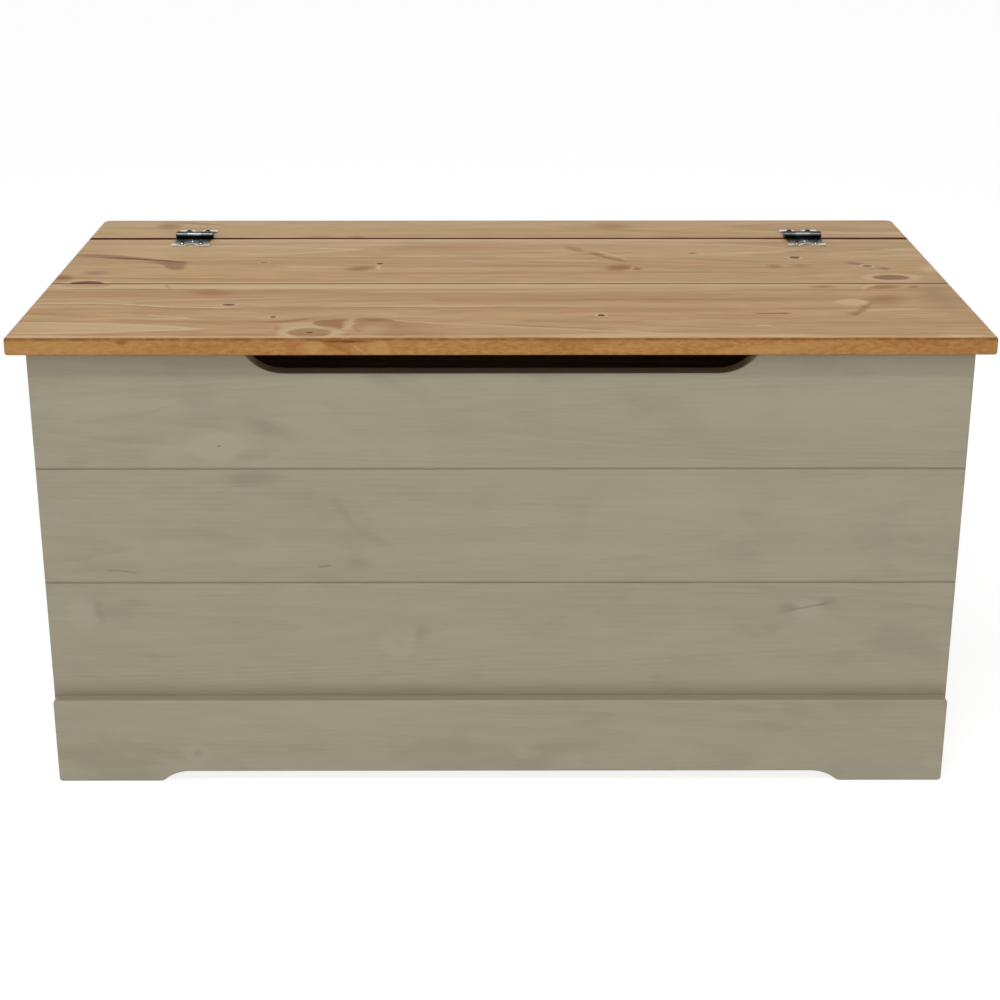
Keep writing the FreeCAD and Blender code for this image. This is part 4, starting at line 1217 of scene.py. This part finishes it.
FRONT_PLANK_MARKS: Tuple[Mark, ...] = (
    Patch((60, -150), (760, 130), Tone.BROWN, 0.08, 0.0, 0.5),
    Patch((-230, -57), (250, 9), Tone.CREAM, 0.55, 0.0, 0.7),
    Patch((130, -57), (260, 9), Tone.CREAM, 0.22, 0.0, 0.9),
    Streak(((-100, -50), (150, -51), (300, -50), (420, -51)), 1.8, Tone.CREAM, 0.5, 0.2),
    Streak(((-440, -66.5), (-380, -66), (-320, -66.4), (-276, -67)), 1.2, Tone.DARK, 0.7, 0.1),
    Patch((-290, -78), (22, 13), Tone.BROWN, 0.75, -15.0, 0.8),
    Patch((-380, -85), (100, 16), Tone.BROWN, 0.2),
    Streak(((-170, -75), (0, -74.6), (118, -70), (265, -67)), 3.0, Tone.PALE, 0.6, 0.15),
    Streak(((-342, -45), (-338, -55), (-333, -65)), 3.0, Tone.DARK, 0.4, 0.1),
    RingLine(
        ((-464, -118), (-420, -117), (-386, -118), (-340, -127), (-300, -132), (-248, -133)),
        0.8, 0.55, 7, 9,
    ),
    RingLine(((-215, -132), (-130, -128), (-60, -130), (30, -128), (124, -133)), 0.65, 0.45, 6, 7, 0.2),
    Patch((-50, -100), (200, 16), Tone.BROWN, 0.16),
    Patch((150, -95), (180, 20), Tone.BROWN, 0.3),
    Streak(((-346, -152), (-325, -160), (-295, -165)), 2.2, Tone.CREAM, 0.5, 0.2),
    Streak(((-416, -168), (-350, -168), (-284, -167)), 2.0, Tone.CREAM, 0.5, 0.2),
    *tongue(
        (-285, -200), ((-466, -182), (-390, -183), (-320, -192)),
        ((-466, -214), (-380, -211), (-325, -205)), 0.6,
    ),
    Patch((-380, -199), (90, 10), Tone.PALE, 0.4),
    Patch((-430, -223), (50, 4), Tone.CREAM, 0.5),
    Patch((-190, -188), (27, 10), Tone.PALE, 0.5, 14.0, 0.7),
    Streak(((-238, -182), (-202, -175), (-181, -168), (-168, -168)), 3.4, Tone.DARK, 0.5, 0.35),
    Patch((-212, -207), (4, 18), Tone.DARK, 0.3),
    Streak(((-218, -204), (-206, -213), (-200, -222), (-194, -229)), 2.2, Tone.CREAM, 0.6, 0.2),
    Field(
        ((-179, -184), (-173, -174), (-163, -171), (-151, -170), (-142, -176)),
        ((-179, -186), (-170, -193), (-158, -207), (-149, -198), (-142, -178)),
        Tone.DARK, 0.55, 2.2, (0.1, 0.1),
    ),
    Patch((-144, -186), (7, 18), Tone.PALE, 0.6, 0.0, 0.6),
    Field(
        ((-141, -186), (-139, -172), (-134, -166), (-114, -168), (-95, -174), (-50, -190)),
        ((-141, -190), (-139, -202), (-134, -214), (-110, -225), (-90, -228), (-50, -228)),
        Tone.BROWN, 0.42, 2.4, (0.03, 0.6),
    ),
    Patch((-120, -172), (19, 7), Tone.DARK, 0.5, -8.0),
    Patch((-110, -187), (30, 11), Tone.BROWN, 0.3, -20.0),
    Streak(((-165, -212), (-155, -221), (-146, -230)), 1.4, Tone.CREAM, 0.5, 0.2),
    Streak(((-146, -230), (-139, -220), (-128, -214)), 1.4, Tone.CREAM, 0.45, 0.2),
    RingLine(((-114, -168), (-78, -182), (-1, -194), (59, -204), (118, -213), (168, -220)), 0.7, 0.1, 5, 6),
    RingLine(((-1, -186), (59, -196), (118, -205)), 0.0, 0.5, 6, 9, 0.2),
    Streak(((0, -177), (80, -179), (150, -184)), 3.5, Tone.BROWN, 0.45, 0.2),
    Patch((-120, -205), (14, 26), Tone.PALE, 0.35, -20.0),
    # Painted highlight along the rounded front arris.
    Streak(((-470, -224.8), (-200, -225), (200, -224.6), (470, -225)), 2.2, Tone.CREAM, 0.5, 0.01),
    Patch((130, -222), (110, 8), Tone.CREAM, 0.45),
    Patch((432, -224), (30, 4), Tone.CREAM, 0.7),
    Patch((264, -223), (32, 4), Tone.CREAM, 0.6),
    Patch((250, -191), (9, 2), Tone.CREAM, 0.8),
    Streak(((244, -150), (264, -151), (284, -150.5)), 2.0, Tone.BLACK, 0.7, 0.2),
    Streak(((350, -143), (380, -139), (415, -134)), 2.4, Tone.CREAM, 0.6, 0.2),
    Patch((330, -57), (14, 5), Tone.DARK, 0.5, 8.0),
    Patch((392, -58), (20, 7), Tone.RED, 0.6, 8.0, 0.6),
    Streak(((368, -66), (376, -56), (384, -50)), 4.0, Tone.CREAM, 0.5, 0.1),
    Patch((422, -58), (8, 5), Tone.DARK, 0.5, 20.0),
    Patch((384, -104), (24, 17), Tone.DARK, 0.45, 35.0, 1.0),
    Streak(((338, -156), (346, -150), (356, -132), (372, -108)), 8.5, Tone.DARK, 0.42, 0.25),
    Patch((341, -153), (6, 5), Tone.BLACK, 0.35, 10.0),
    Patch((348.5, -113), (17.5, 11.5), Tone.PALE, 0.85, 0.0, 0.25),
    Patch((440, -95), (24, 60), Tone.GREY, 0.3),
    Knot((-267, -121), 2.6, 2.2, 0.85, heart=Tone.BLACK),
    Knot((-219, -162), 2.8, 1.0, 0.8, heart=Tone.DARK),
    Knot((-180, -213), 13, 1.5, 0.34, heart=Tone.DARK, halo=0.55, push=0.6, rim=0.4),
    Knot((-180, -213), 2.2, 1.7, 0.7, heart=Tone.BLACK, halo=0.0, push=0.0),
    Knot((97.6, -157.6), 3.4, 1.1, 0.85, heart=Tone.BLACK, halo=0.8),
    Knot((-423, -50), 9, 2.6, 0.2, heart=Tone.BROWN, halo=0.4),
)

FRONT_EDGE_MARKS: Tuple[Mark, ...] = (
    Patch((-192, 461), (8, 12), Tone.RED, 0.45, 60.0),
    Patch((-176, 461), (12, 8), Tone.HONEY, 0.6, 20.0),
    Field(
        ((-168, 470), (-155, 468), (-140, 463)), ((-168, 466), (-155, 459), (-140, 453)),
        Tone.DARK, 0.5, 1.5, (0.1, 0.1),
    ),
    Patch((-138, 462), (12, 8), Tone.BROWN, 0.5, 0.0, 0.6),
    Streak(((-139, 464), (-133, 460), (-126, 455)), 0.9, Tone.HONEY, 0.8, 0.2),
    Patch((-114, 460), (12, 9), Tone.HONEY, 0.5, 0.0, 0.4),
    Patch((-146, 467.2), (28, 1.4), Tone.BLACK, 0.8),
    Patch((-351, 466), (5, 2.5), Tone.BLACK, 0.7),
    Patch((-300, 461), (40, 5), Tone.RED, 0.2, 4.0),
    Patch((-400, 461), (80, 9), Tone.HONEY, 0.35),
    Patch((60, 461), (34, 5), Tone.DARK, 0.2, -6.0),
    Patch((250, 459), (46, 5), Tone.HONEY, 0.3, 3.0),
    Patch((386, 462), (24, 6), Tone.RED, 0.2, 0.0),
)

RAIL_MARKS: Tuple[Mark, ...] = (
    Patch((0, 184), (700, 60), Tone.CREAM, 0.14, 0.0, 0.2),
    # Painted highlight along the rail's rounded edge behind the gap.
    Streak(((-470, 146.6), (-100, 146.4), (200, 146.6), (470, 146.4)), 2.6, Tone.CREAM, 0.5, 0.01),
    Patch((-380, 200), (17, 15), Tone.BROWN, 0.6, -30.0),
    Patch((-350, 212), (36, 6), Tone.RED, 0.4, -14.0),
    Streak(((-468, 166), (-448, 166), (-430, 165)), 4.0, Tone.DARK, 0.2, 0.3),
    Patch((-201, 149), (19, 4), Tone.BROWN, 0.6),
    Patch((-160, 149), (13, 4), Tone.BROWN, 0.6),
    Patch((128, 199), (24, 18), Tone.BROWN, 0.45, 20.0),
    Patch((-40, 180), (220, 9), Tone.BROWN, 0.18),
    Patch((300, 214), (150, 7), Tone.PALE, 0.3),
)

TOP_BOARD_MARKS: Tuple[Mark, ...] = (
    # Painted light: these two pale patches lift the shade under the lid at the right end of the top board.
    Patch((340, 437), (190, 12), Tone.CHALK, 0.75, 0.0, 0.6),
    Patch((330, 396), (170, 28), Tone.CHALK, 0.35, 0.0, 0.8),
    Patch((-360, 398), (110, 8), Tone.CHALK, 0.5),
    Patch((-269, 357), (31, 15), Tone.CHALK, 0.7, 0.0, 0.35),
    Patch((-317, 352), (31, 8), Tone.CHALK, 0.45, 8.0, 0.5),
    Patch((-222, 376), (28, 9), Tone.ASH, 0.8, -14.0),
    Patch((-233, 349), (22, 7), Tone.ASH, 0.65, 10.0),
    Patch((-352, 365), (40, 6), Tone.ASH, 0.4, 6.0),
    Patch((-286, 378), (36, 4), Tone.ASH, 0.4, -4.0),
    Streak(((-442, 377), (-380, 384), (-330, 392), (-284, 406)), 2.4, Tone.ASH, 0.25, 0.3),
    Patch((-120, 430), (26, 9), Tone.ASH, 0.5, -30.0),
    Patch((-160, 400), (14, 4), Tone.ASH, 0.5),
    Knot((-269, 357), 0.8, 1.3, 0.9, halo=0.0, push=0.0, heart=Tone.SOOT),
)

MIDDLE_BOARD_MARKS: Tuple[Mark, ...] = (
    Patch((-240, 324), (32, 8), Tone.ASH, 0.85, 4.0),
    Patch((-152, 290), (24, 5), Tone.ASH, 0.4, -58.0),
    Patch((-124, 262), (22, 6), Tone.ASH, 0.4, -30.0),
    Patch((-139, 235), (14, 6), Tone.ASH, 0.65),
    Streak(((-388, 228), (-372, 227), (-352, 224)), 0.9, Tone.SOOT, 0.45, 0.3),
    Streak(((-180, 231), (-172, 232), (-164, 233)), 0.8, Tone.SOOT, 0.4, 0.2),
    Streak(((240, 276), (340, 288), (446, 312)), 3.5, Tone.ASH, 0.22, 0.3),
    Patch((150, 300), (90, 6), Tone.CHALK, 0.4, 2.0),
    Patch((60, 250), (120, 7), Tone.CHALK, 0.35, -2.0),
)

BOTTOM_BOARD_MARKS: Tuple[Mark, ...] = (
    Patch((-410, 182), (17, 17), Tone.CHALK, 0.5, 0.0, 0.3),
    Patch((-394, 184), (6, 14), Tone.ASH, 0.6, 10.0),
    Patch((-101, 150), (22, 17), Tone.CHALK, 0.45, 0.0, 0.3),
    Patch((-101, 149), (8, 5), Tone.GREY, 0.12, 10.0),
    Patch((-78, 158), (8, 14), Tone.ASH, 0.45, -20.0),
    Patch((302, 185), (18, 11), Tone.CHALK, 0.65, 0.0, 0.3),
    Patch((283, 186), (12, 6), Tone.ASH, 0.75, 15.0),
    Patch((322, 193), (10, 6), Tone.ASH, 0.75, 15.0),
    Streak(((276, 183), (300, 187), (329, 193)), 1.3, Tone.SOOT, 0.42, 0.3),
    Patch((269, 165), (10, 7), Tone.ASH, 0.4),
)

PLINTH_MARKS: Tuple[Mark, ...] = (
    Patch((-304, 32), (15, 11), Tone.CHALK, 0.5, 0.0, 0.35),
    Patch((-304, 32), (4, 3), Tone.ASH, 0.6),
    Patch((434, 24), (11, 10), Tone.CHALK, 0.5, 0.0, 0.35),
    Patch((25, 32), (14, 9), Tone.CHALK, 0.5, 0.0, 0.35),
    Patch((60, 40), (40, 6), Tone.ASH, 0.4, 5.0),
)


def washed_knot(at: Point, size: float) -> Tuple[Mark, ...]:
    """A small knot under the wash, with the cloud round it.

    Args:
        at: Its middle, in mm.
        size: Its half height, in mm.

    Returns:
        Its marks.
    """
    cloud = Patch((at[0] + 26, at[1] + 6), (size * 7, size * 1.6), Tone.ASH, 0.45, 6.0)
    return cloud, Knot(at, size, 1.6, 0.32, heart=Tone.SOOT, halo=0.6, rim=0.4)


BACK_MARKS: Dict[str, Tuple[Mark, ...]] = {
    "bottom": (*washed_knot((-212, 132), 6), Patch((190, 60), (90, 12), Tone.CHALK, 0.4, 2.0)),
    "middle": (*washed_knot((96, 300), 4), Patch((-250, 262), (90, 9), Tone.ASH, 0.4, -4.0)),
    "top": (*washed_knot((-334, 372), 5), *washed_knot((262, 412), 3.5)),
}

END_MARKS: Dict[str, Tuple[Mark, ...]] = {
    "left_bottom": (*washed_knot((62, 96), 5), Patch((-80, 170), (70, 8), Tone.CHALK, 0.4)),
    "left_middle": (
        Patch((30, 290), (80, 9), Tone.ASH, 0.4, 5.0),
        Patch((-90, 250), (60, 8), Tone.CHALK, 0.4),
    ),
    "left_top": (*washed_knot((-104, 404), 4),),
    "right_bottom": (
        Patch((-40, 120), (90, 10), Tone.ASH, 0.4, -5.0),
        Patch((110, 180), (50, 8), Tone.CHALK, 0.4),
    ),
    "right_middle": (*washed_knot((-72, 262), 5),),
    "right_top": (*washed_knot((118, 378), 3.5), Patch((-60, 420), (70, 7), Tone.CHALK, 0.4, 3.0)),
}


# The trunk


@dataclass
class Top:
    """The lid's two planks and the rail behind them.

    Attributes:
        level: Height of the top face.
        joint: Where the two planks meet, across the top.
        gap: Front and rear of the gap between lid and rail.
    """

    level: float = 0.470
    joint: float = -0.045
    gap: Point = (0.140, 0.143)

    def dress(self) -> None:
        """Give each board its own grain."""
        rear = Cut(face=self.level, heart=(0.06, 0.37), drift=(0.02, 0.03), ring=0.0042, seed=3.0)
        front = Cut(face=self.level, heart=(-0.15, 0.36), drift=(-0.02, 0.035), ring=0.0046, seed=8.0)
        rail = Cut(face=self.level, heart=(0.19, 0.33), drift=(0.015, 0.02), ring=0.004, seed=14.0)
        joints = (Joint(self.joint, 1, 1.1, 1.8, 0.9), Joint(self.gap[0], -1, 0.5, 3.4, 1.0))
        finish = WaxedPine("waxed_rear_plank", rear, REAR_PLANK_MARKS, joints)
        dress("lid_board_rear", finish.make())
        joints = (Joint(self.joint, -1, 0.9, 1.3, 0.9),)
        finish = WaxedPine("waxed_front_plank", front, FRONT_PLANK_MARKS, joints, FRONT_EDGE_MARKS)
        dress("lid_board_front", finish.make())
        finish = WaxedPine("waxed_rail", rail, RAIL_MARKS, (Joint(self.gap[1], 1, 2.8, 3.0, 1.0),))
        dress("rear_rail", finish.make())


@dataclass
class Walls:
    """The boards of the four walls, and the plinth.

    Attributes:
        end: Outer face of the end boards.
        side: Outer face of the front and back boards.
        plinth: Face of the plinth.
        levels: Middle of each course above the floor.
        shade: Painted shade under the lid, browned, as WashedPine's grime.
        painted_shade_above_plinth: Painted shade just above the plinth ledge, browned, as WashedPine's
            grime.
    """

    end: float = 0.446
    side: float = 0.216
    plinth: float = 0.228
    levels: Tuple[float, float, float] = (0.107, 0.274, 0.393)
    # Bands of painted shade: under the lid, and just above the plinth ledge.
    shade: Tuple[Band, ...] = ((0.453, 0.425, 0.3),)
    painted_shade_above_plinth: Tuple[Band, ...] = ((0.091, 0.110, 0.38), (0.0912, 0.0928, 0.5))

    def dress(self) -> None:
        """Give each board its own grain."""
        front = Cut(across=Z, deep=Y, face=-self.side, out=-1)
        top = replace(front, heart=(0.385, -0.171), drift=(0.0, -0.039), ring=0.0036, seed=9.0)
        middle = replace(front, heart=(0.262, -0.150), drift=(0.03, 0.03), ring=0.004, seed=21.0)
        bottom = replace(front, heart=(0.168, -0.165), drift=(0.01, 0.035), ring=0.0042, seed=33.0)
        plinth = replace(
            front, face=-self.plinth, heart=(0.02, -0.02), drift=(0.02, 0.02), ring=0.004, seed=45.0
        )
        # The top board carries the painted shade under the lid, and the bottom board the painted shade above
        # the plinth ledge.
        finishes = {
            "front_board_top": WashedPine("washed_front_top", top, TOP_BOARD_MARKS, self.shade, CUT_LEDGE),
            "front_board_middle": WashedPine("washed_front_middle", middle, MIDDLE_BOARD_MARKS),
            "front_board_bottom": WashedPine("washed_front_bottom", bottom, BOTTOM_BOARD_MARKS, self.painted_shade_above_plinth),
            "plinth_front": WashedPine("washed_plinth", plinth, PLINTH_MARKS, ledge=PLINTH_LEDGE),
        }
        for node, finish in finishes.items():
            dress(node, finish.make())
        self.dress_others()

    def dress_others(self) -> None:
        """The end boards and the back boards."""
        seed = 60.0
        for course, level in zip(("bottom", "middle", "top"), self.levels):
            seed += 11.0
            cut = Cut(
                across=Z, deep=Y, face=self.side, heart=(level, 0.165), drift=(0.02, -0.03), seed=seed
            )
            finish = WashedPine(f"washed_back_{course}", cut, BACK_MARKS[course])
            dress(f"back_board_{course}", finish.make())
            for hand, way in (("left", -1), ("right", 1)):
                seed += 5.0
                cut = Cut(
                    along=Y, across=Z, deep=X, face=way * self.end, out=way,
                    heart=(level + 0.01 * way, way * 0.40), drift=(0.03, 0.03 * way), ring=0.004, seed=seed,
                )
                finish = WashedPine(f"washed_{hand}_{course}", cut, END_MARKS[f"{hand}_{course}"])
                dress(f"{hand}_board_{course}", finish.make())


@dataclass
class Inside:
    """The posts, battens and base boards, of plain pine.

    Attributes:
        base_seed: Where their grain starts in the random clouds.
        knot_half: Half the width of the knot in each piece, in mm.
    """

    base_seed: float = 200.0
    knot_half: float = 5.0

    def dress(self) -> None:
        """Give each piece its own grain, along its longest side."""
        seed = self.base_seed
        for row in frame["record"]["subparts"]:
            if row["material_slot"] != "raw_pine":
                continue
            seed += 13.0
            node = row["node"]
            low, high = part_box(node)
            order = sorted(range(3), key=lambda axis: low[axis] - high[axis])
            middle = [(low[axis] + high[axis]) / 2 for axis in order]
            heart = (middle[1] + 0.01, middle[2] - 0.05)
            cut = Cut(*order, face=high[order[2]], heart=heart, drift=(0.01, 0.02), ring=0.004, seed=seed)
            spot = (low[order[0]] + (high[order[0]] - low[order[0]]) * (0.3 + seed % 4 * 0.12)) / MM
            marks = (Knot((spot, middle[1] / MM), self.knot_half, 1.3, 0.8),)
            dress(node, RawPine(f"raw_{node}", cut, marks).make())


@dataclass
class Hinges:
    """The two antique hinges and their screws.

    Attributes:
        worn: Rounding of the leaves' worn edges.
        screw_worn: Rounding of the screws' worn edges.
        steps: Steps in that rounding.
        sharp: Angle above which an edge is rounded, in degrees.
        merge: Distance within which corners are one.
        flat: Angle below which faces are one, in degrees.
    """

    worn: float = 0.28 * MM
    screw_worn: float = 0.12 * MM
    steps: int = 2
    sharp: float = 32.0
    merge: float = 2e-6
    flat: float = 0.8

    def build(self) -> None:
        """Model the worn leaves and screw heads, and dress them and the pins."""
        fixed = AntiqueMetal("antique_metal_fixed", Worn.LEAF).make()
        moving = AntiqueMetal(
            "antique_metal_moving", Worn.LEAF, dark=linear(56, 58, 57), ridge=linear(150, 153, 149)
        ).make()
        heads = AntiqueMetal(
            "antique_metal_heads", Worn.SCREW, dark=linear(62, 64, 62), bright=linear(150, 152, 148)
        ).make()
        pins = AntiqueMetal("antique_metal_pins", Worn.NOWHERE, dark=linear(90, 92, 90)).make()
        for hand in ("left", "right"):
            self.ease(f"hinge_{hand}_rail_leaf", "carcass", fixed, self.worn)
            self.ease(f"hinge_{hand}_lid_leaf", "lid", moving, self.worn)
            dress(f"hinge_{hand}_pin", pins)
        self.ease("rail_hinge_screws", "carcass", heads, self.screw_worn)
        self.ease("lid_hinge_screws", "lid", heads, self.screw_worn)

    def ease(self, node: str, body: str, metal: bpy.types.Material, worn: float) -> None:
        """Stand a copy with worn edges in for a sharp one.

        Args:
            node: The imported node.
            body: The body it moves with.
            metal: Its finish.
            worn: Rounding of its edges.
        """
        mesh = frame["nodes"][node].data.copy()
        piece = bpy.data.objects.new(f"{node}_worn", mesh)
        bpy.context.collection.objects.link(piece)
        bpy.ops.object.select_all(action="DESELECT")
        piece.select_set(True)
        bpy.context.view_layer.objects.active = piece
        bpy.ops.object.mode_set(mode="EDIT")
        bpy.ops.mesh.select_all(action="SELECT")
        bpy.ops.mesh.remove_doubles(threshold=self.merge)
        bpy.ops.mesh.dissolve_limited(angle_limit=math.radians(self.flat))
        bpy.ops.object.mode_set(mode="OBJECT")
        rounding = piece.modifiers.new("worn_edges", "BEVEL")
        rounding.width = worn
        rounding.segments = self.steps
        rounding.limit_method = "ANGLE"
        rounding.angle_limit = math.radians(self.sharp)
        rounding.use_clamp_overlap = True
        bpy.ops.object.modifier_apply(modifier="worn_edges")
        bpy.ops.object.shade_smooth_by_angle(angle=math.radians(self.sharp))
        piece.modifiers.new("flat_faces", "WEIGHTED_NORMAL").keep_sharp = True
        bpy.ops.object.modifier_apply(modifier="flat_faces")
        mesh.materials.clear()
        mesh.materials.append(metal)
        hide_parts(node)
        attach(piece, body)
        log.info("%s: %d faces", piece.name, len(mesh.polygons))


def dress_wood_screws() -> None:
    """Give the inner screws their zinc."""
    zinc = ZincPlate().make()
    for row in frame["record"]["subparts"]:
        if row["material_slot"] == "zinc_screws":
            dress(row["node"], zinc)


# The studio


@dataclass
class Studio:
    """Floor, light and camera.

    Attributes:
        floor_half: Half the floor's side.
        floor_plain: Grey of the floor, as it lights the trunk.
        floor_soft: Grey of the floor that the camera sees a shadow on.
        floor_glow: Glow that lifts the seen floor to white.
        stand: Where the camera stands.
        pitch: How far it looks down, in radians.
        yaw: How far it turns, in radians.
        lens: Its focal length, in mm.
        sensor: Width of its picture, in mm.
        far: How far it sees.
        shift: Its shift, as shares of the picture.
        horizon_light: Light from the walls of the studio.
        sky_light: Light from its ceiling.
        walls: How high the bright walls reach, fully and at most, as a ray's way up.
        strip_light: Light of the strip lamp that only shows in shiny pieces.
        strip_low: Where that lamp begins, as a ray's way up.
        strip_high: Where it ends.
        key_power: Power of the key lamp, in watts.
        key_at: Where it hangs.
        key_size: Its width and height.
        key_aim: Where it points.
    """

    floor_half: float = 30.0
    floor_plain: float = 0.8
    floor_soft: float = 0.34
    floor_glow: float = 0.82
    stand: Place = (-0.01223, -1.78716, 0.96248)
    pitch: float = 0.31314
    yaw: float = -0.00215
    lens: float = 63.455
    sensor: float = 36.0
    far: float = 200.0
    shift: Point = (0.0084, -0.150)
    horizon_light: float = 1.80
    sky_light: float = 0.08
    walls: Point = (0.36, 0.56)
    strip_light: float = 11.0
    strip_low: Point = (0.775, 0.79)
    strip_high: Point = (0.83, 0.845)
    key_power: float = 38.0
    key_at: Place = (-0.4, -1.62, 3.15)
    key_size: Point = (1.1, 0.2)
    key_aim: Place = (0.0, 0.0, 0.3)

    def build(self) -> None:
        """Set up the whole studio."""
        self.make_floor()
        self.make_world()
        self.make_key()
        self.make_camera()

    def seen_by(self, bench: Bench, *rays: str) -> Signal:
        """Tell kinds of ray apart.

        Args:
            bench: The bench.
            *rays: The kinds that are wanted.

        Returns:
            1 for those kinds and 0 for the rest.
        """
        path = bench.node("ShaderNodeLightPath", {})
        seen = Signal(bench, path.outputs[rays[0]])
        for name in rays[1:]:
            seen = bench.maths("MAXIMUM", seen, Signal(bench, path.outputs[name]))
        return seen

    def make_floor(self) -> None:
        """A wide pale floor that keeps a soft shadow."""
        bpy.ops.mesh.primitive_plane_add(size=2 * self.floor_half, location=(0, 0, 0))
        floor = bpy.context.object
        floor.name = "floor"
        bench = Bench("pale_floor")
        plain = bench.signal("ShaderNodeBsdfDiffuse", {0: bench.ink((self.floor_plain,) * 3)})
        soft = bench.signal("ShaderNodeBsdfDiffuse", {0: bench.ink((self.floor_soft,) * 3)})
        glow = bench.signal("ShaderNodeEmission", {0: bench.ink(WHITE), 1: self.floor_glow})
        seen = bench.signal("ShaderNodeAddShader", {0: soft, 1: glow})
        white = self.seen_by(bench, "Is Camera Ray", "Is Glossy Ray", "Is Transmission Ray")
        shader = bench.signal("ShaderNodeMixShader", {0: white, 1: plain, 2: seen})
        bench.node("ShaderNodeOutputMaterial", {0: shader})
        floor.data.materials.append(bench.holder)

    def make_world(self) -> None:
        """A studio with bright walls and a dim ceiling, white where it is seen."""
        world = bpy.data.worlds.new("studio")
        bpy.context.scene.world = world
        bench = Bench("studio", world)
        way = bench.split(bench.signal("ShaderNodeTexCoord", {}, out="Generated"))
        back, height = way[Y], way[Z]
        light = bench.ease(height, *self.walls, self.horizon_light, self.sky_light)
        shine = bench.ease(height, 0.56, 0.40) * bench.ease(back, -0.3, 0.3, 0.08, 1.0) + 0.04
        strip = bench.ease(height, *self.strip_low) * bench.ease(height, *self.strip_high, 1.0, 0.0)
        strip = strip * bench.ease(back, -0.2, -0.4)
        shine = shine + strip * self.strip_light
        glossy = self.seen_by(bench, "Is Glossy Ray", "Is Transmission Ray")
        strength = bench.signal("ShaderNodeMix", {0: glossy, 2: light, 3: shine}, data_type="FLOAT")
        camera = self.seen_by(bench, "Is Camera Ray")
        strength = bench.signal("ShaderNodeMix", {0: camera, 2: strength, 3: 1.0}, data_type="FLOAT")
        shader = bench.signal("ShaderNodeBackground", {0: bench.ink(WHITE), 1: strength})
        bench.node("ShaderNodeOutputWorld", {0: shader})

    def make_key(self) -> None:
        """The key lamp, a softbox above the front."""
        bpy.ops.object.light_add(type="AREA", location=self.key_at)
        lamp = bpy.context.object
        lamp.name = "key_softbox"
        lamp.data.shape = "RECTANGLE"
        lamp.data.size, lamp.data.size_y = self.key_size
        lamp.data.energy = self.key_power
        aim = Vector(self.key_aim) - Vector(self.key_at)
        lamp.rotation_euler = aim.to_track_quat("-Z", "Y").to_euler()

    def make_camera(self) -> None:
        """The camera at the photograph's viewing angle."""
        turn = (math.pi / 2 - self.pitch, 0.0, self.yaw)
        bpy.ops.object.camera_add(location=self.stand, rotation=turn)
        camera = bpy.context.object
        camera.name = "camera"
        camera.data.sensor_width = self.sensor
        camera.data.lens = self.lens
        camera.data.shift_x, camera.data.shift_y = self.shift
        camera.data.clip_end = self.far
        bpy.context.scene.camera = camera


def main() -> None:
    """Build and dress the whole trunk."""
    logging.basicConfig(level=logging.INFO, format="%(message)s")
    bpy.context.scene.view_settings.view_transform = "Standard"
    bpy.ops.object.select_all(action="DESELECT")
    Studio().build()
    Top().dress()
    Walls().dress()
    Inside().dress()
    Hinges().build()
    dress_wood_screws()


if __name__ == "__main__":
    main()
